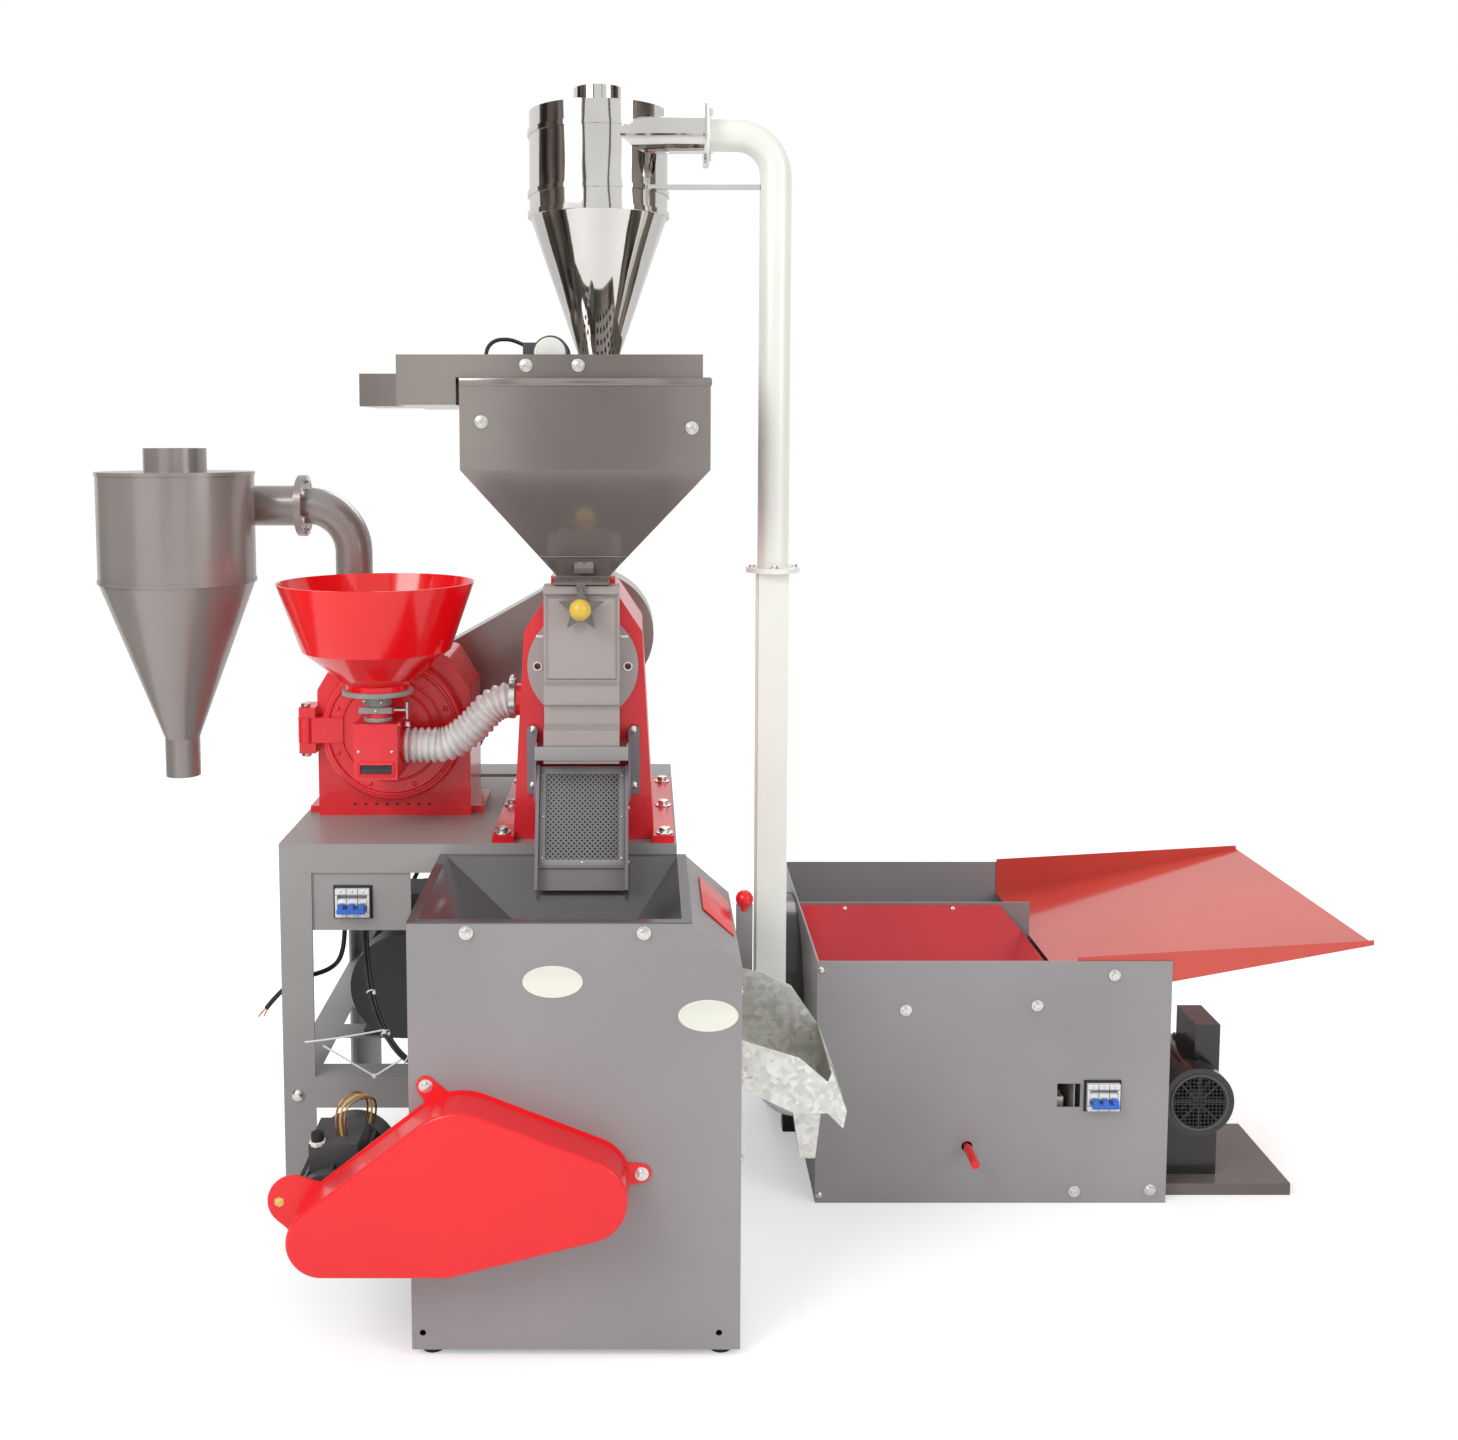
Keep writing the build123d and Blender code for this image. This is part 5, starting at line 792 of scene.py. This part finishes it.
hosePiece = dress(hoseTube(hose), "corrugatedHose", "door", "hose_grey", angle=70)
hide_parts("corrugated_hose")

# worm-drive clamps: a band, the screw housing on top and its seat
clamp = {
    "places": {"doorClamp": (-0.529, -0.025, 0.763), "hullerClamp": (-0.3590, -0.025, 0.838)},
    "radius": 0.0312, "wall": 0.0012, "width": 0.009,
    "wormLift": 0.0352, "wormRadius": 0.0042, "wormLength": 0.016,
    "seatLift": 0.0322, "seat": (0.010, 0.012, 0.003),
}
for name, (x, y, z) in clamp["places"].items():
    band = roundBar((x, y, z), clamp["radius"], clamp["width"], "x", 56)
    openEnds(band, 0, clamp["wall"])
    worm = roundBar((x, y, z + clamp["wormLift"]), clamp["wormRadius"], clamp["wormLength"], "y", 16, fineEdge)
    seat = bar((x, y, z + clamp["seatLift"]), clamp["seat"], fineEdge)
    dress([band, worm, seat], name, "door", "machined_steel", zinc)
print("hose and clamps made")


# bolts

hullerX = -0.242
cabFace = -0.449
cleanerFace = -0.045
plateFace = -0.452
hopperFace = -0.1875
trayFace = -0.182
boltSize = {"across": 0.0135, "head": 0.0048, "washer": 0.0014}
footBoltSize = {"across": 0.019, "head": 0.0075, "washer": 0.0022}
flangeBoltSize = {"across": 0.011, "head": 0.004, "washer": 0.001}
frontPlaces = [
    (-0.385, cabFace, 0.598), (-0.147, cabFace, 0.598),
    (0.280, cleanerFace, 0.328), (0.494, cleanerFace, 0.336), (0.619, cleanerFace, 0.387),
    (0.562, cleanerFace, 0.020), (0.687, cleanerFace, 0.023),
    (-0.441, plateFace, 0.387), (-0.150, plateFace, 0.264),
    (-0.387, hopperFace, 1.281), (-0.076, hopperFace, 1.272),
]
footPlaces = [(hullerX + side * 0.127, 0.067 + row * 0.173, 0.640) for side in (-1, 1) for row in (-1, 0, 1)]
trayPlaces = [(-0.321, trayFace, 1.364), (-0.244, trayFace, 1.364)]
frontBolts = boltSet("frontBolts", frontPlaces, boltSize)
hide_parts("fasteners")
boltSet("footBolts", footPlaces, footBoltSize, "+z")
boltSet("trayBolts", trayPlaces, boltSize, "-y", "tray")
print("bolts set:", len(frontPlaces) + len(footPlaces) + len(trayPlaces))


# blank plates on the cab

ovals = {
    "places": ((-0.2695, 0.5305), (-0.0605, 0.4835)), "width": 0.081, "height": 0.044, "thick": 0.0008,
    "rim": ((0.0028, 0), (0.0008, 0.0004)),
}
ovalPieces = []
for x, z in ovals["places"]:
    centre = (x, cabFace - ovals["thick"] / 2, z)
    oval = roundBar(centre, 0.5, ovals["thick"], "y", 72)
    pick(oval)
    bpy.ops.transform.resize(value=(ovals["width"], 1, ovals["height"]), center_override=centre)
    settle()
    stepFront(oval, ovals["rim"])
    ovalPieces.append(oval)
dress(ovalPieces, "blankOvals", "base", "cab_grey", finishes["plate"])
print("blank plates set")


# flour mill: rings and rivets of the door, the sight window with a black pane of painted shade, and the air
# holes as dark discs of painted shade

mill = {
    "centre": (-0.564, 0.776), "doorFace": 0.0267,
    "rings": ((0.107, 0.0035), (0.084, 0.0025)),
    "rivets": 8, "rivetCircle": 0.0965, "rivetSize": (0.0045, 0.0022),
    "boxFace": -0.084, "window": (-0.570, 0.736), "windowSize": (0.050, 0.015), "windowRim": 0.004,
    "dots": 8, "firstDot": -0.631, "dotPitch": 0.0178, "dotZ": 0.647, "dotFace": 0.0466, "dotRadius": 0.0022,
}
doorMiddle = (mill["centre"][0], mill["doorFace"], mill["centre"][1])
ringPieces = [
    roundRing(doorMiddle, radius, thickness, 96, 12, turnFor("y")) for radius, thickness in mill["rings"]
]
rivetSpots = onRound(mill["centre"], mill["rivetCircle"], mill["rivets"], 22.5)
rivetPlaces = [(x, mill["doorFace"], z) for x, z in rivetSpots]
ringPieces.append(spreadOut(domeScrew(*mill["rivetSize"], "-y"), rivetPlaces, "rivets"))
dress(ringPieces, "doorRings", "door", "cast_red")
x, z = mill["window"]
width, height = mill["windowSize"]
rim = mill["windowRim"]
windowFrame = bar((x, mill["boxFace"] - 0.0012, z), (width + 2 * rim, 0.0024, height + 2 * rim), softEdge)
facesWhere(windowFrame, lambda normal: normal.y < -0.9)
bpy.ops.mesh.inset(thickness=rim)
bpy.ops.mesh.extrude_region_move(TRANSFORM_OT_translate={"value": (0, 0.0018, 0)})
leaveEdit()
dress(windowFrame, "sightFrame", "door", "cast_red")
# the window's pane is an opaque black sheet: painted shade of the mill's dark inside
shadePane = bar((x, mill["boxFace"] - 0.0004, z), (width - 0.001, 0.0012, height - 0.001), thinEdge)
dress(shadePane, "sightShadePane", "door", "black_paint")
dotPlaces = [
    (mill["firstDot"] + mill["dotPitch"] * number, mill["dotFace"], mill["dotZ"])
    for number in range(mill["dots"])
]
# each air hole is a thin dark disc on the face: painted shade in place of a real hole
airHoleShades = spreadOut(roundBar((0, 0, 0), mill["dotRadius"], 0.0008, "y", 16), dotPlaces, "airHoleShades")
dress(airHoleShades, "airHoleShades", "base", "black_rubber", dark)
print("mill dressed")


# feed gate with its star plate and knob, and the ball of the stone lever

knob = {"centre": (hullerX, -0.194, 1.0022), "radius": 0.0163, "neck": (0.0072, 0.009), "neckBack": 0.018}
knobBall = ball(knob["centre"], knob["radius"], turnFor("y"))
x, y, z = knob["centre"]
knobNeck = roundBar((x, y + knob["neckBack"], z), *knob["neck"], "y", 28, roundEdge)
dress([knobBall, knobNeck], "gateKnob", "gate_blade", "machined_steel", finishes["yellow"])
leverTop = {"centre": (0.0055, -0.187, 0.560), "radius": 0.0134, "neck": (0.0066, 0.006), "neckDrop": 0.0145}
leverBall = ball(leverTop["centre"], leverTop["radius"])
x, y, z = leverTop["centre"]
leverNeck = roundBar((x, y, z - leverTop["neckDrop"]), *leverTop["neck"], "z", 24, fullEdge)
dress([leverBall, leverNeck], "leverBall", "stone_lever", "guard_red")
star = {
    "centre": (hullerX, 1.0003), "face": -0.163, "thick": 0.003, "outer": 0.037, "inner": 0.0155,
    "strap": ((hullerX, -0.1615, 1.0330), (0.013, 0.003, 0.0140)),
    "blade": ((hullerX, -0.0790, 1.0383), (0.084, 0.166, 0.0040)),
    "stem": ((hullerX, -0.1670, 1.0022), 0.0050, 0.0080),
}
tips = onRound(star["centre"], star["outer"], 5, 90)
hollows = onRound(star["centre"], star["inner"], 5, 126)
corners = [corner for pair in zip(tips, hollows) for corner in pair]
gatePieces = [
    cutSheet(corners, star["face"], -star["thick"], fineEdge), bar(*star["strap"], keenEdge),
    bar(*star["blade"], keenEdge), roundBar(*star["stem"], "y", 28, fineEdge),
]
gatePiece = dress(gatePieces, "starGate", "gate_blade", "machined_steel", finishes["starPaint"])
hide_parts("feed_gate")
print("knob and ball made")


# breakers: seams between the poles, terminal screws, and a bezel in the panel's window

breakerSpots = {"panel": (-0.602, -0.133, 0.535), "cleaner": (0.604, -0.055, 0.184)}
breaker = {
    "width": 0.053, "height": 0.045, "pole": 0.0177, "seam": 0.0006, "shelf": 0.0138, "shelfSeam": 0.0005,
    "screwRow": 0.0185, "screw": (0.0024, 0.0008), "bezelBack": 0.0088, "bezel": 0.004,
}
for name, (x, y, z) in breakerSpots.items():
    seams, screws = [], []
    for side in (-0.5, 0.5):
        seamPlace = (x + side * breaker["pole"], y - 0.0001, z)
        seams.append(bar(seamPlace, (breaker["seam"], 0.0008, breaker["height"])))
    for shelf in (-1, 1):
        shelfPlace = (x, y - 0.0001, z + shelf * breaker["shelf"])
        seams.append(bar(shelfPlace, (breaker["width"], 0.0008, breaker["shelfSeam"])))
        for pole in (-1, 0, 1):
            screws.append((x + pole * breaker["pole"], y, z + shelf * breaker["screwRow"]))
    dress(seams, name + "BreakerSeams", "base", "black_rubber", dark)
    screwSet(name + "BreakerScrews", screws, breaker["screw"])
    outer = [breaker[side] + 2 * breaker["bezel"] for side in ("width", "height")]
    bezel = bar((x, y + breaker["bezelBack"], z), (outer[0], 0.0018, outer[1]), fineEdge)
    openEnds(bezel, 1, breaker["bezel"] + 0.0001)
    dress(bezel, name + "BreakerBezel", "base", "black_rubber")
print("breakers dressed")


# cleaner motor: round wire netting over the fan

fan = {
    "centre": (0.772, 0.162), "netFace": -0.0246, "ringFace": -0.0248, "mesh": 15, "size": 0.094,
    "reach": 0.0455, "wire": 0.0011, "ring": (0.0465, 0.0016),
}
x, z = fan["centre"]
putDown()
bpy.ops.mesh.primitive_grid_add(
    x_subdivisions=fan["mesh"], y_subdivisions=fan["mesh"], size=fan["size"],
    location=(x, fan["netFace"], z), rotation=turnFor("y"),
)
netting = settled()
for vertex in netting.data.vertices:
    off = Vector((vertex.co.x - x, vertex.co.z - z))
    if off.length > fan["reach"]:
        off = off.normalized() * fan["reach"]
        vertex.co.x, vertex.co.z = x + off.x, z + off.y
wires = netting.modifiers.new("wires", "WIREFRAME")
wires.thickness = fan["wire"]
wires.use_even_offset = False
bpy.ops.object.modifier_apply(modifier=wires.name)
netRing = roundRing((x, fan["ringFace"], z), *fan["ring"], 72, 10, turnFor("y"))
dress([netting, netRing], "fanNet", "base", "motor_grey")
print("cleaner motor dressed")


# flange bolts of the lift and the blow pipe
# each set: centre, radius of its circle, count, first turn, and where the heads point

flanges = {
    "liftFlangeBolts": ((-0.0455, -0.015, 1.730), 0.041, 4, 45, "+x"),
    "blowFlangeBolts": ((-0.721, 0.130, 1.143), 0.043, 6, 30, "+x"),
    "riserFlangeBolts": ((0.060, -0.015, 1.051), 0.0335, 4, 0, "+z"),
}
for name, ((x, y, z), circle, count, turn, head) in flanges.items():
    if head == "+x":
        places = [(x, *spot) for spot in onRound((y, z), circle, count, turn)]
    else:
        places = [(*spot, z) for spot in onRound((x, y), circle, count, turn)]
    boltSet(name, places, flangeBoltSize, head)
print("flange bolts set")


# levers of the breakers: a white barrel, three blue fingers and their tie bar

lever = {
    "length": 0.0454, "barrel": 0.0063, "axisBack": 0.006,
    "tie": (0.044, 0.006, 0.0075), "tieStep": (-0.0155, -0.0102),
    "finger": (0.0095, 0.0115, 0.0090), "fingerStep": (-0.0125, -0.0040), "pole": 0.0160,
}
toggles = (("panel_switch", "panel_toggle", "panel"), ("cleaner_switch", "cleaner_toggle", "cleaner"))
for body, node, name in toggles:
    x, y, z = breakerSpots[name]
    axisY = y + lever["axisBack"]
    barrel = roundBar((x, axisY, z), lever["barrel"], lever["length"], "x", 40, fineEdge)
    front, drop = lever["tieStep"]
    fingers = [bar((x, axisY + front, z + drop), lever["tie"], fullEdge)]
    front, drop = lever["fingerStep"]
    for pole in (-1, 0, 1):
        fingers.append(bar((x + pole * lever["pole"], axisY + front, z + drop), lever["finger"], fullEdge))
    barrelPiece = dress(barrel, name + "Barrel", body, "breaker_white")
    dress(fingers, name + "Levers", body, "toggle_blue")
    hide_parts(node)
print("levers made")


# perforated screen in its frame, on the sloping chute that hangs on two arms

screen = {
    "origin": (hullerX, -0.118, 0.748), "tilt": 70, "cells": 36, "size": 0.206, "web": 0.0013,
    "thick": 0.0009, "half": 0.0575, "top": -0.012, "foot": -0.142, "lift": 0.0034,
    "backLift": 0.0023, "back": (0.116, 0.131, 0.0005),
    "rimLift": 0.0062, "rimSize": (0.131, 0.148), "rimWidth": 0.0090, "rimThick": 0.0036,
    "rimScrew": (0.0021, 0.0014), "rimScrewSide": 0.0612, "rimScrewRows": (-0.014, -0.077, -0.140),
    "rimScrewFoot": -0.1465,
}


def ontoChute(piece):
    # from across the slope and up it to where the chute is
    pick(piece)
    piece.rotation_euler = (radians(screen["tilt"]), 0, 0)
    piece.location = screen["origin"]
    return piece


middle = (screen["top"] + screen["foot"]) / 2
putDown()
bpy.ops.mesh.primitive_grid_add(
    x_subdivisions=screen["cells"], y_subdivisions=screen["cells"], size=screen["size"],
    location=(0, middle, screen["lift"]), rotation=(0, 0, radians(45)),
)
screenSheet = settled()
editAll()
bpy.ops.mesh.inset(thickness=screen["web"], use_individual=True)
bpy.ops.mesh.delete(type="FACE")
cuts = (
    ((screen["half"], 0, 0), (1, 0, 0)), ((-screen["half"], 0, 0), (-1, 0, 0)),
    ((0, screen["top"], 0), (0, 1, 0)), ((0, screen["foot"], 0), (0, -1, 0)),
)
for place, outward in cuts:
    bpy.ops.mesh.select_all(action="SELECT")
    bpy.ops.mesh.bisect(plane_co=place, plane_no=outward, clear_outer=True)
leaveEdit()
thicken(screenSheet, screen["thick"])
dress(ontoChute(screenSheet), "screenSheet", "base", "frame_grey", finishes["mesh"])
# a dark sheet under the perforated screen: painted shade seen through its holes
shadeBacking = bar((0, middle, screen["backLift"]), screen["back"], hairEdge)
dress(ontoChute(shadeBacking), "screenShadeBacking", "base", "frame_grey", dark)
rimPlace = (0, middle, screen["rimLift"])
chuteFrame = sheetFrame(rimPlace, screen["rimSize"], screen["rimWidth"], screen["rimThick"], softEdge)
dress(ontoChute(chuteFrame), "screenFrame", "base", "frame_grey")
rimSpots = [
    (side * screen["rimScrewSide"], up, screen["rimLift"])
    for side in (-1, 1) for up in screen["rimScrewRows"]
]
rimSpots.append((0, screen["rimScrewFoot"], screen["rimLift"]))
rimScrews = spreadOut(domeScrew(*screen["rimScrew"], "+z"), rimSpots, "rimScrews")
dress(ontoChute(rimScrews), "rimScrews", "base", "machined_steel", zinc)

# cross bar between the arms, with its ends turned back, and the arms' bolts
arms = {
    "barFront": -0.1720, "barZ": 0.7805, "barWidth": 0.142, "barHeight": 0.021,
    "sheet": 0.003, "turned": 0.030, "boltFace": -0.104,
    "bolts": ((-0.320, 0.8045), (-0.164, 0.8045), (-0.321, 0.716), (-0.163, 0.716)),
    "bolt": (0.0066, 0.0042), "sideScrew": (0.0030, 0.0022), "side": 0.0712,
    "sideSpots": ((-0.146, 0.690), (-0.172, 0.612)),
}
sheet, tall = arms["sheet"], arms["barHeight"]
crossBar = [bar((hullerX, arms["barFront"], arms["barZ"]), (arms["barWidth"], sheet, tall), softEdge)]
for side in (-1, 1):
    endPlace = (
        hullerX + side * (arms["barWidth"] - sheet) / 2, arms["barFront"] + arms["turned"] / 2, arms["barZ"],
    )
    crossBar.append(bar(endPlace, (sheet, arms["turned"], tall), fineEdge))
dress(crossBar, "chuteBar", "base", "frame_grey")
screwSet("armBolts", [(x, arms["boltFace"], z) for x, z in arms["bolts"]], arms["bolt"])
for side, way, name in ((-1, "-x", "leftSideScrew"), (1, "+x", "rightSideScrew")):
    spots = [(hullerX + side * arms["side"], y, z) for y, z in arms["sideSpots"]]
    screwSet(name, spots, arms["sideScrew"], way, finish=brass)
print("screen and its frame made")


# head cover: pressed front, latches, the rings round its bolt holes, and the creases

cover = {
    "front": (-0.1507, 0.954), "size": (0.107, 0.0018, 0.127), "border": ((0.0022, -0.0007),),
    "latch": (-0.1340, 0.9550), "latchSide": 0.0640, "latchSize": (0.013, 0.0045, 0.0040),
    "ring": (-0.1128, 0.905), "ringSide": 0.070, "ringSize": (0.0072, 0.0052, 0.0016),
    "creases": ((-0.1594, 0.8830), (-0.1594, 0.8535), (-0.1515, 0.8210)),
    "creaseSize": (0.108, 0.0014, 0.0012),
}
pressed = bar((hullerX, *cover["front"]), cover["size"], keenEdge)
stepFront(pressed, cover["border"])
dress(pressed, "coverFront", "base", "frame_grey", finishes["coverPaint"])
latches = []
for side in (-1, 1):
    latches.append(bar((hullerX + side * cover["latchSide"], *cover["latch"]), cover["latchSize"], softEdge))
for side in (-1, 1):
    ringPlace = (hullerX + side * cover["ringSide"], *cover["ring"])
    latches.append(collar(ringPlace, *cover["ringSize"], "y", 40))
dress(latches, "coverLatches", "base", "machined_steel", zinc)
creases = [bar((hullerX, *place), cover["creaseSize"]) for place in cover["creases"]]
dress(creases, "coverCreases", "base", "frame_grey")
print("head cover dressed")


# main hopper: hems along three rims, the weld and strap at its throat, and a screw

hopper = {
    "x": -0.234, "y": -0.002, "width": 0.371, "proud": 0.0007, "sheet": 0.0018, "hemZ": 1.3395, "hem": 0.0105,
    "weld": ((-0.2404, -0.1042, 1.0750), (0.139, 0.0012, 0.0014)),
    "strap": ((-0.2404, -0.0955, 1.0610), (0.030, 0.0012, 0.0260)),
    "screwPlace": (-0.240, -0.0895, 1.0520), "screw": (0.0042, 0.0030),
}
x, y, wide = hopper["x"], hopper["y"], hopper["width"]
rimReach = wide / 2 + hopper["proud"]
hemPieces = [
    bar((x, y - rimReach, hopper["hemZ"]), (wide, hopper["sheet"], hopper["hem"]), fineEdge),
    bar((x, y + rimReach, hopper["hemZ"]), (wide, hopper["sheet"], hopper["hem"]), fineEdge),
    bar((x + rimReach, y, hopper["hemZ"]), (hopper["sheet"], wide, hopper["hem"]), fineEdge),
    bar(*hopper["weld"], thinEdge),
    bar(*hopper["strap"], thinEdge),
]
dress(hemPieces, "hopperHems", "base", "silver_grey")
screwSet("neckScrew", [hopper["screwPlace"]], hopper["screw"])
print("hopper dressed")


# vibration motor: pale end cap with its ring, and the short lead into the tray
# each gland: place, radius, depth, axis, sides and rounded edge

shaker = {
    "cap": (-0.287, -0.1618, 1.383), "capRadius": 0.0235, "capThick": 0.0042,
    "steps": ((0.0035, 0.0009), (0.0020, -0.0006)), "wire": 0.0030,
    "route": [
        (-0.318, -0.118, 1.392), (-0.331, -0.118, 1.399), (-0.352, -0.120, 1.407),
        (-0.376, -0.126, 1.404), (-0.387, -0.138, 1.384), (-0.384, -0.146, 1.352),
    ],
    "glands": (
        ((-0.3165, -0.118, 1.3915), 0.0062, 0.010, "x", 6, 0.0008),
        ((-0.3225, -0.118, 1.3945), 0.0048, 0.009, "x", 28, 0.0012),
        ((-0.384, -0.146, 1.3520), 0.0058, 0.007, "z", 28, 0.0014),
    ),
}
capDisc = roundBar(shaker["cap"], shaker["capRadius"], shaker["capThick"], "y", 72, roundEdge)
stepFront(capDisc, shaker["steps"])
dress(capDisc, "shakerCap", "tray", "motor_grey", finishes["endWhite"])
strand("shakerLead", shaker["route"], shaker["wire"], finishes["cord_black"], body="tray")
dress([roundBar(*gland) for gland in shaker["glands"]], "shakerGland", "tray", "black_rubber")
print("vibration motor dressed")


# mill's neck: three collars and a clamp plate with its screws, and the nuts of the hinge
# each collar: height, outer and inner radius, depth, sides and rounded edge

neck = {
    "x": -0.571, "y": -0.056,
    "collars": (
        (0.8567, 0.0557, 0.0200, 0.0078, 72, 0.0010), (0.8440, 0.0216, 0.0172, 0.0190, 56, 0.0),
        (0.8125, 0.0225, 0.0172, 0.0065, 56, 0.0008),
    ),
    "plateFront": 0.0225, "plateZ": 0.8290, "plate": (0.052, 0.0030, 0.0100), "screw": (0.0030, 0.0022),
    "screws": [
        (-0.589, -0.0755, 0.8440), (-0.562, -0.0770, 0.8420), (-0.570, -0.0805, 0.8290),
        (-0.598, -0.0842, 0.7640), (-0.545, -0.0842, 0.7640),
    ],
    "hinge": (-0.706, 0.030), "nutHeights": (0.8185, 0.7355), "nut": (0.0085, 0.006),
}
neckPieces = []
for z, outer, inner, depth, sides, edge in neck["collars"]:
    neckPieces.append(collar((neck["x"], neck["y"], z), outer, inner, depth, "z", sides, edge))
neckPieces.append(bar((neck["x"], neck["y"] - neck["plateFront"], neck["plateZ"]), neck["plate"], softEdge))
dress(neckPieces, "millNeck", "door", "frame_grey")
screwSet("neckScrews", neck["screws"], neck["screw"], body="door")
hingeNuts = [roundBar((*neck["hinge"], z), *neck["nut"], "z", 6, softEdge) for z in neck["nutHeights"]]
dress(hingeNuts, "hingeNuts", "base", "machined_steel", zinc)
print("mill neck made")


# screws on the cab's side wall, the cleaner's walls, the table leg and the guard plate's lobe

wallSize, sideSize, legSize = (0.0062, 0.0040), (0.0052, 0.0034), (0.0105, 0.0060)
wallSpots = [
    (0.1415, -0.0452, 0.396), (0.1415, -0.0452, 0.014), (0.2206, 0.2532, 0.398), (0.4185, 0.2532, 0.398),
]
screwSet("cabSideScrews", [(-0.0152, -0.440, z) for z in (0.515, 0.395, 0.280)], sideSize, "+x")
screwSet("wallScrews", wallSpots, wallSize)
screwSet("legScrew", [(-0.694, -0.1272, 0.222)], legSize)
lobe = {
    "head": ((-0.642, -0.4505, 0.224), 0.0075, 0.0040), "shank": ((-0.642, -0.4440, 0.224), 0.0045, 0.0150),
}
lobePieces = [roundBar(*lobe["head"], "y", 6, softEdge), roundBar(*lobe["shank"], "y", 28)]
dress(lobePieces, "lobeBolt", "base", "machined_steel", brass)
print("wall screws set")


# nylon ties: the long tails of the two that hold the cable

tails = {
    "upperTail": [(-0.667, -0.187, 0.335), (-0.620, -0.187, 0.3395), (-0.548, -0.172, 0.348)],
    "lowerTail": [(-0.639, -0.188, 0.330), (-0.600, -0.190, 0.3068), (-0.560, -0.192, 0.283)],
    "lowerTip": [(-0.560, -0.192, 0.283), (-0.540, -0.192, 0.296), (-0.519, -0.191, 0.309)],
}
tailThick = 0.0014
tailLock = (0.006, 0.005, 0.006)
for name, route in tails.items():
    strand(name, route, tailThick, finishes["tie"])
lockSpots = ((-0.560, -0.192, 0.2835), (-0.546, -0.178, 0.3475))
tailLocks = [bar(place, tailLock, softEdge) for place in lockSpots]
dress(tailLocks, "tailLocks", "base", "breaker_white", finishes["tie"])
print("ties made")


# destoner motor: its capped terminal and three thin wires

terminal = {
    "cap": ((-0.600, -0.402, 0.2900), 0.0088, 0.016), "nut": ((-0.600, -0.402, 0.2835), 0.0125, 0.006),
    "wire": 0.0015, "wires": (("copper", 0), ("yellow", 0.006), ("copper", 0.012)),
}
terminalCap = roundBar(*terminal["cap"], "z", 28, broadEdge)
dress(terminalCap, "terminalCap", "base", "black_rubber")
terminalNut = roundBar(*terminal["nut"], "z", 6, fullEdge)
dress(terminalNut, "terminalNut", "base", "breaker_white", finishes["endWhite"])
for number, (tone, shift) in enumerate(terminal["wires"]):
    route = [
        (-0.575 + shift, -0.385, 0.282), (-0.582 + shift, -0.388, 0.322),
        (-0.556 + shift, -0.366, 0.344 - shift),
        (-0.536 + shift, -0.346, 0.320), (-0.545 + shift, -0.342, 0.282),
    ]
    strand(f"motorWire{number}", route, terminal["wire"], finishes[tone])


# red cover sheet on the cab's slanting shoulder

shoulder = {
    "centre": (-0.0415, -0.2675, 0.5766), "run": (0.0440, 0.0400), "depth": 0.155, "thick": 0.0016,
    "tilt": 42.3,
}
slope = Vector(shoulder["run"]).length
shoulderSheet = bar((0, 0, 0), (slope, shoulder["depth"], shoulder["thick"]), keenEdge)
shoulderSheet.rotation_euler = (0, radians(shoulder["tilt"]), 0)
shoulderSheet.location = shoulder["centre"]
dress(shoulderSheet, "shoulderCover", "base", "guard_red")
print("small pieces made")
